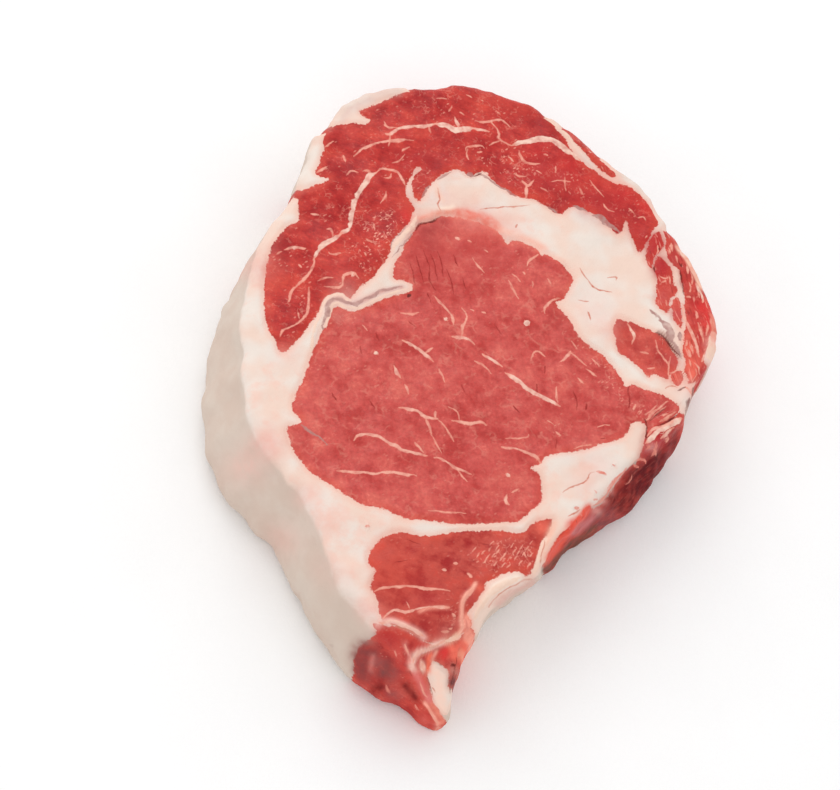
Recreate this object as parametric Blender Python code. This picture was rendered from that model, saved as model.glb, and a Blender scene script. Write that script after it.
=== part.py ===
"""Raw boneless ribeye steak, lying on one cut face.

One closed solid: the steak is a single piece of meat. It is a loft of closed loops that run
round the steak. They start on a spine in the middle of the upper cut face, spread out to that
face's rim, go down the bulging side, turn under, and close again on a spine in the underside.
Lengths are in millimetres in the constants and in metres in the scene. +Z is up, +Y points from
the tail to the broad end, and the origin is under the middle of the steak, on the board.
"""

import bmesh
import bpy
import numpy as np

MM = 0.001

# Driving dimensions.
THICKNESS = 32.0
EDGE_RADIUS = 3.0  # rounding of the upper rim
FOOT_HEIGHT = 5.0  # where the side is widest
FOOT_TUCK = 4.0  # how far the side turns in under the foot
SIDE_BELLY = 0.7  # swelling of the side between rim and foot
TAIL_START = (-21.0, -75.0)  # the upper face droops from here
TAIL_DIRECTION = (0.3, -0.954)  # towards the tail's tip
TAIL_DROP = 0.15  # droop in mm for each mm ** TAIL_POWER past the start
TAIL_POWER = 1.5
TIP = (-11.0, -99.5)
TIP_REACH = 18.0  # nearer the tip than this the edges are rounded less
MIDDLE = (0.0, 1.0)  # middle of the outline's box, which becomes the origin

# The rim of the upper cut face, from the broad end round by the fat side to the tail and back
# by the lean side: x, y, and how far the foot of the side stands out beyond the rim.
RIM = [
    (1.0, 103.0, 0.0), (-8.0, 100.2, 0.0), (-19.0, 100.4, 0.0), (-29.0, 97.4, -0.5),
    (-36.0, 93.2, -1.0), (-39.6, 88.0, -1.0), (-45.0, 81.5, -1.2), (-47.4, 75.0, -1.2),
    (-49.6, 67.5, -0.6), (-52.8, 60.0, 0.2), (-57.8, 51.5, 1.0), (-63.0, 42.0, 2.2),
    (-67.0, 30.0, 3.8), (-69.6, 15.0, 6.0), (-70.4, 0.0, 7.4), (-69.0, -12.0, 8.2),
    (-66.0, -23.0, 7.8), (-60.5, -32.0, 7.8), (-54.0, -40.5, 7.4), (-50.0, -48.5, 6.4),
    (-47.0, -58.0, 5.2), (-44.5, -67.0, 4.4), (-41.0, -74.5, 4.4), (-36.0, -80.0, 5.0),
    (-29.5, -84.8, 5.0), (-22.5, -90.0, 4.0), (-16.5, -95.5, 2.6), (-12.0, -99.5, 1.4),
    (-9.3, -99.0, 0.8), (-8.3, -94.5, 0.6), (-7.6, -90.0, 0.4), (-6.2, -85.0, 0.0),
    (-3.6, -80.0, -0.5), (-0.4, -75.0, -1.5), (3.4, -71.0, -2.5), (8.5, -67.0, -3.0),
    (14.0, -62.8, -2.0), (19.0, -57.0, -1.0), (25.0, -50.2, 0.2), (31.0, -43.6, 1.4),
    (36.5, -37.0, 3.2), (43.0, -30.0, 5.2), (50.0, -23.0, 6.0), (57.0, -17.0, 4.0),
    (62.4, -12.4, 2.6), (66.0, -6.0, 1.6), (70.0, 1.0, 0.6), (73.4, 7.5, 0.0),
    (76.0, 15.0, 0.0), (77.2, 22.5, 0.0), (77.0, 29.0, 0.0), (75.2, 34.5, 0.0),
    (72.0, 41.0, 0.0), (68.0, 48.5, 0.0), (64.6, 54.0, 0.0), (63.0, 60.0, 0.0),
    (58.3, 67.8, 0.0), (51.0, 75.0, 0.0), (43.0, 81.5, 0.0), (34.5, 89.0, 0.0),
    (25.5, 95.8, 0.0), (16.0, 99.8, 0.0), (9.0, 101.4, 0.0),
]
# The spine that the loops of both cut faces close on, from the broad end to the tail.
SPINE = [(2.6, 64.0), (5.0, 20.0), (-4.0, -30.0), (-14.0, -60.0), (-17.0, -76.0), (-14.5, -88.0)]

# Broad swells of the upper face: x, y, radius, height.
SWELLS = [
    (-5.0, 5.0, 34.0, 0.8),  # the eye muscle
    (-38.0, 45.0, 20.0, 0.5),  # the cap's near lobe
    (30.0, 75.0, 24.0, 0.6),  # the cap along the broad end
    (36.0, 36.0, 14.0, 0.5),  # the fat between cap and eye
    (16.0, -38.0, 9.0, -0.5),  # hollow where the fat meets the eye
    (-20.0, 28.0, 7.0, -0.7),  # notch in the eye's near side
]

LOOP_POINTS = 144
FACE_LOOPS = 9  # loops of a cut face between its spine and its edge
EDGE_LOOPS = 3
SIDE_LOOPS = 5


def smooth_curve(points, count, closed):
    """A Catmull-Rom curve through the points, read at even steps of its length."""
    knots = np.array(points, float)
    if closed:
        knots = np.vstack([knots[-1:], knots, knots[:2]])
    else:
        knots = np.vstack([2 * knots[0] - knots[1], knots, 2 * knots[-1] - knots[-2]])
    t = np.linspace(0, 1, 24, endpoint=False)[:, None]
    a, b, c, d = (knots[k : len(knots) - 3 + k, None, :] for k in range(4))
    spans = b + 0.5 * t * (c - a + t * (2 * a - 5 * b + 4 * c - d + t * (3 * (b - c) + d - a)))
    fine = spans.reshape(-1, knots.shape[1])
    fine = np.vstack([fine, knots[-2]])
    run = np.concatenate([[0.0], np.cumsum(np.linalg.norm(np.diff(fine[:, :2], axis=0), axis=1))])
    at = np.linspace(0, run[-1], count, endpoint=not closed)
    return np.stack([np.interp(at, run, fine[:, k]) for k in range(fine.shape[1])], axis=1)


def rim_and_spine():
    """Rim points, their outward directions and the foot's stand-out, and each one's spine point.

    The rim is read in two halves, so that loop point 0 is the broad end, half way is the
    tail's tip, and mirrored loop points share a point of the spine.
    """
    fine = smooth_curve(RIM, 4000, closed=True)
    tip = int(np.argmin(fine[:, 1]))
    half = LOOP_POINTS // 2
    steps = np.linspace(0, 1, half, endpoint=False)
    index = np.concatenate([steps * tip, tip + steps * (len(fine) - tip)])
    rim = np.stack([np.interp(index, np.arange(len(fine)), fine[:, k]) for k in range(3)], axis=1)
    along = np.roll(rim[:, :2], -1, axis=0) - np.roll(rim[:, :2], 1, axis=0)
    outward = np.stack([along[:, 1], -along[:, 0]], axis=1)
    outward /= np.linalg.norm(outward, axis=1)[:, None]
    share = 1 - np.abs(1 - 2 * np.arange(LOOP_POINTS) / LOOP_POINTS)
    spine = smooth_curve(SPINE, 200, closed=False)
    at = share * (len(spine) - 1)
    spine = np.stack([np.interp(at, np.arange(len(spine)), spine[:, k]) for k in range(2)], axis=1)
    return rim[:, :2], outward, rim[:, 2], spine


def face_height(xy):
    """Height of the upper face before its rim is rounded: the thickness, swells and droop."""
    height = np.full(len(xy), THICKNESS)
    for x, y, radius, rise in SWELLS:
        square = ((xy - (x, y)) ** 2).sum(axis=1)
        height += rise * np.exp(-square / (2 * radius**2))
    past = np.maximum((xy - TAIL_START) @ np.array(TAIL_DIRECTION), 0.0)
    return height - TAIL_DROP * past**TAIL_POWER


def steak_loops():
    """All loops from the upper spine to the lower one, as an array of loop, point and x, y, z."""
    rim, outward, stand_out, spine = rim_and_spine()
    brow = face_height(rim)
    sharp = np.clip(np.linalg.norm(rim - TIP, axis=1) / TIP_REACH, 0.2, 1.0)
    radius = np.minimum(EDGE_RADIUS, 0.3 * brow) * sharp
    foot_height = np.minimum(FOOT_HEIGHT, 0.4 * brow)
    foot = rim + outward * stand_out[:, None]
    tucked = foot - outward * (FOOT_TUCK * sharp)[:, None]
    loops = []

    inner = rim - outward * radius[:, None]
    for share in np.linspace(0, 1, FACE_LOOPS):
        xy = spine + (inner - spine) * share
        loops.append(np.column_stack([xy, face_height(xy)]))
    for turn in np.linspace(0, np.pi / 2, EDGE_LOOPS + 1)[1:]:
        xy = inner + outward * (radius * np.sin(turn))[:, None]
        loops.append(np.column_stack([xy, brow - radius * (1 - np.cos(turn))]))
    top_of_side = brow - radius
    for share in np.linspace(0, 1, SIDE_LOOPS + 1)[1:]:
        ease = share * share * (3 - 2 * share)
        xy = rim + (foot - rim) * ease + outward * SIDE_BELLY * np.sin(np.pi * share)
        loops.append(np.column_stack([xy, top_of_side + (foot_height - top_of_side) * share]))
    for turn in np.linspace(0, np.pi / 2, EDGE_LOOPS + 1)[1:]:
        xy = tucked + (foot - tucked) * np.cos(turn)
        loops.append(np.column_stack([xy, foot_height * (1 - np.sin(turn))]))
    for share in np.linspace(1, 0, FACE_LOOPS)[1:]:
        xy = spine + (tucked - spine) * share
        loops.append(np.column_stack([xy, np.zeros(len(xy))]))
    return np.array(loops)


def steak_mesh():
    """Joins each loop to the next with four-sided faces and closes both spines."""
    loops = steak_loops()
    loops[:, :, :2] -= MIDDLE
    count = loops.shape[1]
    here = np.arange(count)
    after = np.roll(here, -1)
    starts = np.arange(len(loops) - 1)[:, None] * count
    faces = np.stack(
        [starts + here, starts + count + here, starts + count + after, starts + after], axis=2
    )
    mesh = bpy.data.meshes.new("steak")
    mesh.from_pydata((loops.reshape(-1, 3) * MM).tolist(), [], faces.reshape(-1, 4).tolist())
    work = bmesh.new()
    work.from_mesh(mesh)
    bmesh.ops.remove_doubles(work, verts=work.verts, dist=0.00001)
    bmesh.ops.dissolve_degenerate(work, edges=work.edges, dist=0.00001)
    bmesh.ops.recalc_face_normals(work, faces=work.faces)
    work.to_mesh(mesh)
    work.free()
    mesh.shade_smooth()
    return mesh


def raw_beef():
    """Material of the whole steak: moist red lean with its fat averaged in."""
    material = bpy.data.materials.new("raw_beef")
    material.use_nodes = True
    shader = material.node_tree.nodes["Principled BSDF"]
    shader.inputs["Base Color"].default_value = (0.56, 0.13, 0.10, 1.0)
    shader.inputs["Roughness"].default_value = 0.4
    shader.inputs["Metallic"].default_value = 0.0
    return material


def main():
    for old in list(bpy.data.objects):
        bpy.data.objects.remove(old)
    parts = bpy.data.collections.new("ribeye_steak")
    bpy.context.scene.collection.children.link(parts)
    steak = bpy.data.objects.new("steak", steak_mesh())
    steak.data.materials.append(raw_beef())
    parts.objects.link(steak)


main()
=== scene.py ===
"""A raw boneless ribeye steak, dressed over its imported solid.

The steak is one closed skin, a grid of loops that run round it and of steps from a spine in the
upper cut face, over the rim, down the side and back along the underside. Muscles, seams of fat and
marbling are laid out as outlines and strokes in millimetres. Each is stored on the skin as a
distance, so that the material can draw its edge finer than the grid.
"""

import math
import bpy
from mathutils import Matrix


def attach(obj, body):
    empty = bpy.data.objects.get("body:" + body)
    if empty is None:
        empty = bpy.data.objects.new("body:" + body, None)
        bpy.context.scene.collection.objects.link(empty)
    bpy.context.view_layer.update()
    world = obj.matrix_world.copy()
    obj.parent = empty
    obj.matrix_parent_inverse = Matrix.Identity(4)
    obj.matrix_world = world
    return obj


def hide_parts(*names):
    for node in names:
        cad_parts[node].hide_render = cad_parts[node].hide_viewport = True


bl_info = {
    "name": "Raw Ribeye Steak",
    "version": (1, 0, 0),
    "blender": (4, 5, 0),
    "location": "View3D > Sidebar > Steak",
    "description": "Models a marbled raw ribeye steak on a pale studio floor",
    "category": "Add Mesh",
}

import bpy
import numpy as np
from mathutils import Matrix, Vector

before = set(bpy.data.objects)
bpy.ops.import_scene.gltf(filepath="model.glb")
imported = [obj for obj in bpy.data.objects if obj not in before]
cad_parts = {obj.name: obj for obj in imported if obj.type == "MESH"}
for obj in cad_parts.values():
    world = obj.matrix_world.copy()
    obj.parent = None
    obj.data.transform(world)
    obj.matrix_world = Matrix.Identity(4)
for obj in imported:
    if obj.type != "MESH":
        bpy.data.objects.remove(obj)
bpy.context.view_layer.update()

MM = 0.001
MIDDLE = np.array([0.0, 1.0])  # the plan's point above the frame's origin, in mm

# ---------------------------------------------------------------------------------------------
# The plan: outlines and strokes in mm. x, y of the upper cut face, and of the side as it looks
# from EYE_POINT when drawn on the upper face's plane.

PLANE = 32.0
EYE_POINT = np.array([-207.8, -415.5, 811.4])

# x, y of the rim and how far the foot of the side stands out from it.
RIM = [
    (1, 103, 0), (-8, 100.2, 0), (-19, 100.4, 0), (-29, 97.4, -0.5), (-36, 93.2, -1),
    (-39.6, 88, -1), (-45, 81.5, -1.2), (-47.4, 75, -1.2), (-49.6, 67.5, -0.6), (-52.8, 60, 0.2),
    (-57.8, 51.5, 1), (-63, 42, 2.2), (-67, 30, 3.8), (-69.6, 15, 6), (-70.4, 0, 7.4),
    (-69, -12, 8.2), (-66, -23, 7.8), (-60.5, -32, 7.8), (-54, -40.5, 7.4), (-50, -48.5, 6.4),
    (-47, -58, 5.2), (-44.5, -67, 4.4), (-41, -74.5, 4.4), (-36, -80, 5), (-29.5, -84.8, 5),
    (-22.5, -90, 4), (-16.5, -95.5, 2.6), (-12, -99.5, 1.4), (-9.3, -99, 0.8), (-8.3, -94.5, 0.6),
    (-7.6, -90, 0.4), (-6.2, -85, 0), (-3.6, -80, -0.5), (-0.4, -75, -1.5), (3.4, -71, -2.5),
    (8.5, -67, -3), (14, -62.8, -2), (19, -57, -1), (25, -50.2, 0.2), (31, -43.6, 1.4),
    (36.5, -37, 3.2), (43, -30, 5.2), (50, -23, 6), (57, -17, 4), (62.4, -12.4, 2.6), (66, -6, 1.6),
    (70, 1, 0.6), (73.4, 7.5, 0), (76, 15, 0), (77.2, 22.5, 0), (77, 29, 0), (75.2, 34.5, 0),
    (72, 41, 0), (68, 48.5, 0), (64.6, 54, 0), (63, 60, 0), (58.3, 67.8, 0), (51, 75, 0),
    (43, 81.5, 0), (34.5, 89, 0), (25.5, 95.8, 0), (16, 99.8, 0), (9, 101.4, 0),
]
SPINE = [(2.6, 64), (5, 20), (-4, -30), (-14, -60), (-17, -76), (-14.5, -88)]

EDGE_RADIUS = 3.0  # of the rim's rounding
FOOT_HEIGHT, FOOT_TUCK = 5.0, 4.0  # of the ellipse that turns the side under
SIDE_BELLY = 0.7
TAIL_START, TAIL_DIRECTION = (-21.0, -75.0), (0.3, -0.954)
TAIL_DROP, TAIL_POWER = 0.15, 1.5
TIP, TIP_REACH = (-11.0, -99.5), 18.0  # within this reach the tail's rounding sharpens
SWELLS = [  # x, y, radius, rise
    (-5, 5, 34, 0.8), (-38, 45, 20, 0.5), (30, 75, 24, 0.6), (36, 36, 14, 0.5), (16, -38, 9, -0.5),
    (-20, 28, 7, -0.7),
]

CAP = [
    (-59, 3.8), (-60.3, 8), (-62.5, 11.5), (-63.2, 20), (-62.5, 30), (-60.5, 39.5), (-58.5, 43),
    (-55.5, 47), (-51.6, 50.2), (-52, 55), (-52.6, 58.5), (-52, 60), (-48, 60.7), (-42, 64.2),
    (-44.5, 64.7), (-46.3, 66), (-44.8, 70.5), (-43.2, 75), (-43.5, 80), (-42.6, 83.5), (-38, 84.8),
    (-31, 85.5), (-29.5, 85.2), (-28, 87.5), (-30, 88.3), (-31.5, 89.8), (-30, 91), (-25, 93.8),
    (-17.8, 97.3), (-13, 100.5), (-5, 103), (3, 105.5), (12, 103), (20, 100), (25.5, 96.5),
    (29, 91.5), (31, 88), (33.5, 84), (35.6, 79.6), (38.6, 77), (43.4, 73.8), (48, 70.4),
    (52, 69.6), (56, 66.8), (58.8, 63.4), (60.6, 60), (61.2, 57), (59.4, 54), (56.5, 49),
    (54, 45.8), (52.5, 51.5), (50.8, 57), (49.8, 54), (47.5, 51.8), (44.5, 55), (41.5, 58),
    (34.5, 60.5), (30, 57.6), (25.5, 60), (22, 61.8), (16.5, 62.8), (12.5, 65), (8.5, 69.3),
    (8, 71), (5, 70.7), (2, 68.8), (0, 70.6), (-2, 71.2), (-6.5, 69), (-10, 65.2), (-13.5, 59.7),
    (-15, 59), (-16.5, 63), (-15.8, 66.5), (-13, 71), (-14.5, 71), (-17.3, 66), (-18.3, 61),
    (-16, 56.2), (-16.6, 54.4), (-17.4, 51.6), (-18.6, 49.8), (-20.4, 47.8), (-22.6, 44.9),
    (-24.4, 42), (-24.6, 39.6), (-26, 37), (-28, 34.6), (-29, 33), (-30, 31.4), (-31.6, 30),
    (-33.6, 28), (-35.4, 26), (-36.4, 24.6), (-37.4, 23.9), (-38.4, 24.1), (-39.4, 25.2),
    (-41, 25.5), (-42.6, 24.9), (-44.4, 23.8), (-45.6, 22.2), (-46.2, 20), (-47, 17.6),
    (-49.4, 14.8), (-52.5, 10), (-56.5, 5),
]
EYE = [
    (-16.6, 48), (-15.4, 50.1), (-14.2, 51.3), (-12.2, 52.1), (-10.4, 52.6), (-9, 53.8),
    (-7.6, 54.6), (-5, 54.7), (-2, 54.5), (3, 53.4), (8, 51.5), (11, 48.5), (12.5, 46), (14, 47.3),
    (18, 46.5), (21.5, 45), (23, 42.5), (25, 42.7), (29, 40), (32, 35.8), (32, 33.5), (30.2, 30),
    (28.6, 27.8), (26.6, 26.8), (28, 24), (31, 19.5), (31.9, 16), (35.5, 12), (40, 9), (43, 5),
    (45, 0.5), (45.6, -1.8), (48, -0.3), (52, -2), (58, -4), (62.3, -7.4), (60, -10.5), (55, -14),
    (52, -15), (50.3, -13.2), (47, -13), (45.5, -16), (42, -19), (36, -21), (30, -23.3),
    (24, -24.5), (19, -26), (17.6, -28), (14.6, -29.5), (17, -32), (17.4, -36), (16.8, -40),
    (13, -44), (9.5, -47.3), (4, -47.8), (-8, -48.6), (-19, -48), (-23.5, -48.1), (-31, -45),
    (-38, -43.6), (-44, -39), (-50, -34.8), (-54, -30.5), (-57.2, -24.5), (-57.5, -20.6),
    (-53.6, -18.5), (-55.7, -14.5), (-55.3, -10.5), (-53, -5.5), (-51.5, -1.5), (-49, 5),
    (-46.5, 11), (-44.4, 15), (-43.4, 18.2), (-42.4, 20), (-41, 20.9), (-39.4, 20.2), (-37, 19.8),
    (-34.6, 20.2), (-33, 21), (-30.6, 22.1), (-28.4, 23.4), (-26.2, 24.8), (-24, 25.7),
    (-21.4, 26.3), (-19.6, 26.9), (-18.3, 27.8), (-18.3, 29.4), (-19.4, 30.7), (-21, 31.1),
    (-23.2, 31.2), (-23.6, 33), (-23.1, 35.6), (-22.2, 38), (-21.2, 39.4), (-20.6, 40.8),
    (-20, 42.6), (-18.6, 44.5), (-17.4, 46.3),
]
LIP = [
    (-35.5, -60), (-34.5, -58), (-30.5, -53.8), (-25, -52.2), (-20, -53.3), (-16.5, -53),
    (-12, -51.9), (-7, -50.9), (0, -50.2), (5, -50.1), (8, -50.7), (10.6, -50.8), (12.4, -49.2),
    (14, -47.7), (16.4, -46.7), (19.8, -45.9), (19.2, -48.4), (18.4, -50.6), (17, -52),
    (15.8, -54.4), (14.6, -57.6), (13.2, -60.6), (12, -63), (10.8, -64.6), (9.8, -64.6), (9, -63.2),
    (7, -63.6), (4.6, -64.2), (2, -65.3), (-0.9, -66.9), (-1.4, -67.6), (-2.3, -69.8),
    (-3.7, -72.1), (-4.9, -73.9), (-6.3, -75.7), (-7.2, -77.2), (-6.5, -78.6), (-6.3, -81),
    (-9, -82.8), (-13, -84.6), (-17, -86.6), (-22, -85.3), (-27, -82.2), (-31.5, -80.6),
    (-33.2, -77.5), (-33.3, -73), (-35.2, -69.5), (-33.4, -65), (-35.4, -62.5),
]
ISLAND = [
    (45, 22), (48, 21.3), (51.5, 20), (56, 18.1), (58.6, 17.2), (60.4, 15.2), (61.8, 12.6),
    (63.2, 9.6), (63, 7), (62, 5.6), (60.6, 5), (60, 4.4), (59.6, 2.2), (57.4, 3.2), (55.4, 4),
    (53.6, 2.6), (52, 4.2), (50.6, 6), (48, 9), (45, 10.8), (44, 14.5), (43.8, 19),
]
EDGE_PIECES = [
    [
        (56, 43.5), (56.5, 45.5), (57, 47.5), (57.4, 49.5), (58.4, 51.2), (59.6, 52.6),
        (61.2, 53.7), (61.7, 52.2), (61.8, 50.2), (61.4, 47.8), (60.8, 46.2), (59.8, 45.6),
        (58.6, 43.6), (58, 41.8), (57.8, 40.2), (57, 41), (56.2, 42.4),
    ],
    [
        (60.3, 44.5), (61.6, 43.8), (62.8, 42.2), (63.9, 40.4), (64.1, 37.5), (64.2, 34.8),
        (65.2, 34.4), (65.5, 32.6), (64.4, 31), (62.9, 30.4), (62.5, 29), (62.3, 27), (61.9, 25.8),
        (60.9, 25.3), (60, 25.8), (58.6, 27), (57.8, 28.2), (57.9, 29.8), (58.9, 30.6),
        (58.5, 32.2), (58.8, 35), (58.9, 38), (58.4, 40), (58.9, 42.4), (59.5, 43.8),
    ],
    [
        (64, 30.6), (65.2, 31), (65.9, 29), (65.8, 26), (65.7, 23), (65.6, 20.5), (65, 19),
        (64.2, 20.2), (63.3, 21.6), (63.1, 24), (62.9, 27), (63.2, 29),
    ],
    [
        (63.3, 54.4), (62.8, 51.5), (63, 49), (62.4, 46), (62.9, 43.8), (64.3, 41.8), (65.7, 40.6),
        (66.4, 38.6), (66.8, 36), (67, 33), (67.7, 31), (67.2, 29.4), (66.9, 27), (67, 23.6),
        (66.6, 21), (66, 18.6), (65.4, 15), (65.1, 11.4), (65.7, 8), (65.3, 5.6), (66, 3.6),
        (65.6, 1.4), (67.2, 1), (69, 1.8), (71, 0.6), (75, 6), (74, 8.2), (71.6, 8.4), (72.2, 10.6),
        (73.2, 13.4), (74.2, 16.6), (75.4, 19.4), (79, 20), (80, 28), (78, 33), (74, 42), (70, 48),
        (65, 56),
    ],
    [
        (62.2, 5.4), (63.3, 6.2), (64.2, 5), (64.5, 3.6), (64, 1.6), (63, 0.8), (62, 0.3), (61, 1),
        (60.5, 2.6), (60.5, 4),
    ],
    [
        (33, 89.6), (35.8, 87.8), (41.6, 82.2), (47.2, 76.4), (49.8, 73.8), (47.6, 72.4),
        (42, 77.4), (37.2, 82.6), (34.8, 86),
    ],
    [
        (51.3, -14.5), (53, -12.6), (56, -12.6), (61.6, -9.6), (65, -8), (69, -12), (66, -22),
        (58, -34), (50, -44), (40, -50), (30, -58), (20, -66), (15.6, -61.9), (17.2, -59.2),
        (19.6, -55.4), (21.6, -52), (23.4, -49.6), (26, -46.8), (29, -43.6), (31.6, -41.4),
        (33, -42.4), (35.4, -41.2), (37, -39), (39, -36.6), (41.6, -33.2), (44.2, -29.6),
        (46.4, -27.6), (48.2, -25.2), (49.4, -22.6), (50.2, -20.2),
    ],
]
TAIL = [
    (-35.2, -81), (-31, -81.6), (-28, -81.4), (-24.5, -83.4), (-21.5, -85.3), (-18, -86.6),
    (-13, -85.6), (-9.4, -84), (-9, -82), (-6.4, -80.6), (-6.2, -84), (-6.6, -88), (-8.4, -92.6),
    (-10.6, -96.6), (-13.8, -100.6), (-13.9, -97.4), (-13.7, -95.4), (-15, -93.6), (-17.4, -92),
    (-18.8, -92.6), (-19.8, -95), (-20, -97), (-19.5, -99.6), (-19.3, -102.6), (-18.6, -105),
    (-16.8, -107.8), (-15.4, -109.6), (-15.2, -111), (-16, -115), (-25, -114), (-36, -108),
    (-44, -102), (-41.4, -97), (-41.2, -93), (-40.2, -90), (-38, -87.2), (-35.4, -85.2),
    (-34, -83.4),
]

# Strokes: half width, then points. They taper at both ends.
CAP_VEINS = [
    (0.45, [(-34, 73.5), (-30, 76.8), (-26, 78.5), (-21, 79.8), (-15, 80)]),
    (0.6, [(-24, 82.5), (-22.5, 82), (-18, 84.7), (-11, 85.8), (-7, 87)]),
    (1, [(-8, 86.8), (-4.5, 86.3), (-1.8, 85), (1, 85.6), (5, 86.5)]),
    (0.6, [(3, 86.5), (6, 86), (9.5, 85.7)]), (0.6, [(-0.5, 86), (-1, 88), (-1.5, 90)]),
    (0.3, [(-22.3, 82), (-22.5, 80), (-23, 77.5)]), (0.3, [(-10, 85.5), (-9.5, 83.3)]),
    (0.4, [(5, 89.3), (8, 89), (13, 90.3), (15, 89), (16.5, 87.8)]),
    (0.4, [(10, 89.5), (12.3, 85.5), (12.2, 83.5), (15, 81.7), (17, 81.5)]),
    (0.35, [(9, 81), (11, 82), (13, 82.8)]),
    (0.95, [(16.5, 81.7), (21, 83), (25.5, 84.2), (30, 83.3), (34.4, 79.6), (38, 77)]),
    (0.3, [(2.5, 98.3), (4.7, 97.3)]), (0.3, [(-7.3, 95.7), (-3.8, 96.1)]),
    (0.3, [(-2, 94), (-3.5, 91.5)]), (0.3, [(0.2, 92), (1.6, 91)]), (0.3, [(12, 93.2), (13.3, 92)]),
    (0.3, [(7, 97), (8.3, 96.2)]), (0.35, [(1.5, 78), (2, 79.5), (6.5, 80.5), (7.7, 79.6)]),
    (0.3, [(2, 79), (1.5, 77), (2.3, 75)]), (0.3, [(5, 78), (6.7, 78.3)]),
    (0.3, [(15, 77.7), (16.7, 75.5)]), (0.3, [(18.5, 80), (19, 78), (20.5, 75.8), (25, 75.5)]),
    (0.3, [(23.3, 73), (25.2, 71.4)]), (0.3, [(29.5, 75), (29.5, 72)]),
    (0.3, [(26, 79), (27.6, 78)]), (0.4, [(18.5, 69), (19.5, 67.5), (20.5, 66.8), (22.5, 69.3)]),
    (0.5, [(19.9, 66.6), (19.5, 64), (19.3, 61.8)]), (0.3, [(16, 71.5), (18, 70.3), (20, 70.5)]),
    (0.3, [(28, 69), (31, 69.5), (34.2, 69.2)]), (0.3, [(32.5, 71), (32, 68), (32.3, 65.8)]),
    (0.3, [(40.3, 71), (41.5, 69), (44.7, 64.8)]), (0.3, [(-16.5, 78), (-19, 76.2)]),
    (0.3, [(-18, 75.5), (-20, 73), (-22.2, 72.1)]), (0.3, [(-37, 74), (-36.5, 71.3)]),
    (0.4, [(-36.6, 66.3), (-35, 68), (-32.8, 67.4)]),
    (0.35, [(-31.7, 68), (-30, 68.5), (-29.2, 67), (-29.3, 65.3)]),
    (0.45, [(-22, 69), (-25.5, 69.5), (-27.5, 68)]),
    (0.8, [
        (-27, 68.3), (-29.6, 66.2), (-30.6, 64), (-32.6, 61.4), (-34.5, 57.2), (-35.4, 53),
        (-36, 50), (-37, 47.4), (-39.4, 45.2),
    ]),
    (0.75, [(-39, 45.4), (-41.5, 43.5), (-46, 40), (-48, 36)]),
    (0.45, [(-25, 69.4), (-21, 69), (-19.5, 66.7), (-18.3, 63.5)]),
    (0.3, [(-25.2, 66), (-23, 66.5), (-22.5, 68.2)]),
    (0.4, [(-47.5, 37), (-48, 34), (-50.5, 29.5), (-54.5, 25.5), (-55.8, 20.8)]),
    (0.4, [(-43.7, 47), (-42.2, 47), (-41.8, 43.8)]),
    (0.4, [(-43.2, 39), (-42.4, 38), (-39.3, 39)]),
    (0.5, [(-57, 38.4), (-53.8, 39.6), (-49.8, 39.8)]), (0.8, [(-54.4, 39.4), (-52.6, 39.4)]),
    (0.4, [(-49.6, 26.7), (-50.2, 18.5), (-51.8, 15.6), (-54, 13.5), (-57.8, 11.3), (-59, 8.8)]),
    (0.3, [(-52.9, 15.4), (-53.3, 17.7)]),
    (0.4, [(-45.2, 27), (-39.7, 27.4), (-39, 31), (-36, 32), (-34.3, 30.1)]),
    (0.6, [(-37, 31.5), (-35.6, 31.6)]), (0.3, [(-47.2, 28.4), (-45, 30), (-41.8, 30.6)]),
    (0.45, [(-48.2, 52), (-45.3, 51.7)]), (0.3, [(-59.2, 37), (-57.3, 38)]),
    (0.35, [(-52.3, 34), (-51.8, 33)]), (0.4, [(-32.3, 39.4), (-31.8, 38.5)]),
    (0.4, [(-42.8, 76), (-41, 77.5), (-39.8, 78.6)]), (0.4, [(-46.2, 66), (-42.3, 69.1)]),
    (0.35, [(-24, 87), (-23, 84.6), (-19.8, 84.2)]),
    (0.3, [(-26.5, 57), (-25, 59.5), (-24.6, 61.5)]), (0.3, [(-29, 50), (-28.6, 47.4)]),
    (0.3, [(-25, 53.5), (-23.4, 52.6)]), (0.3, [(-31.5, 44.6), (-29.6, 43.4)]),
    (0.35, [(44, 62.8), (45.4, 60.6), (47.6, 60)]), (0.3, [(52.2, 61.6), (53.6, 59.4)]),
    (0.3, [(36.6, 67.6), (38, 64.8)]), (0.3, [(24, 66.4), (26.6, 65.2)]),
]
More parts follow.
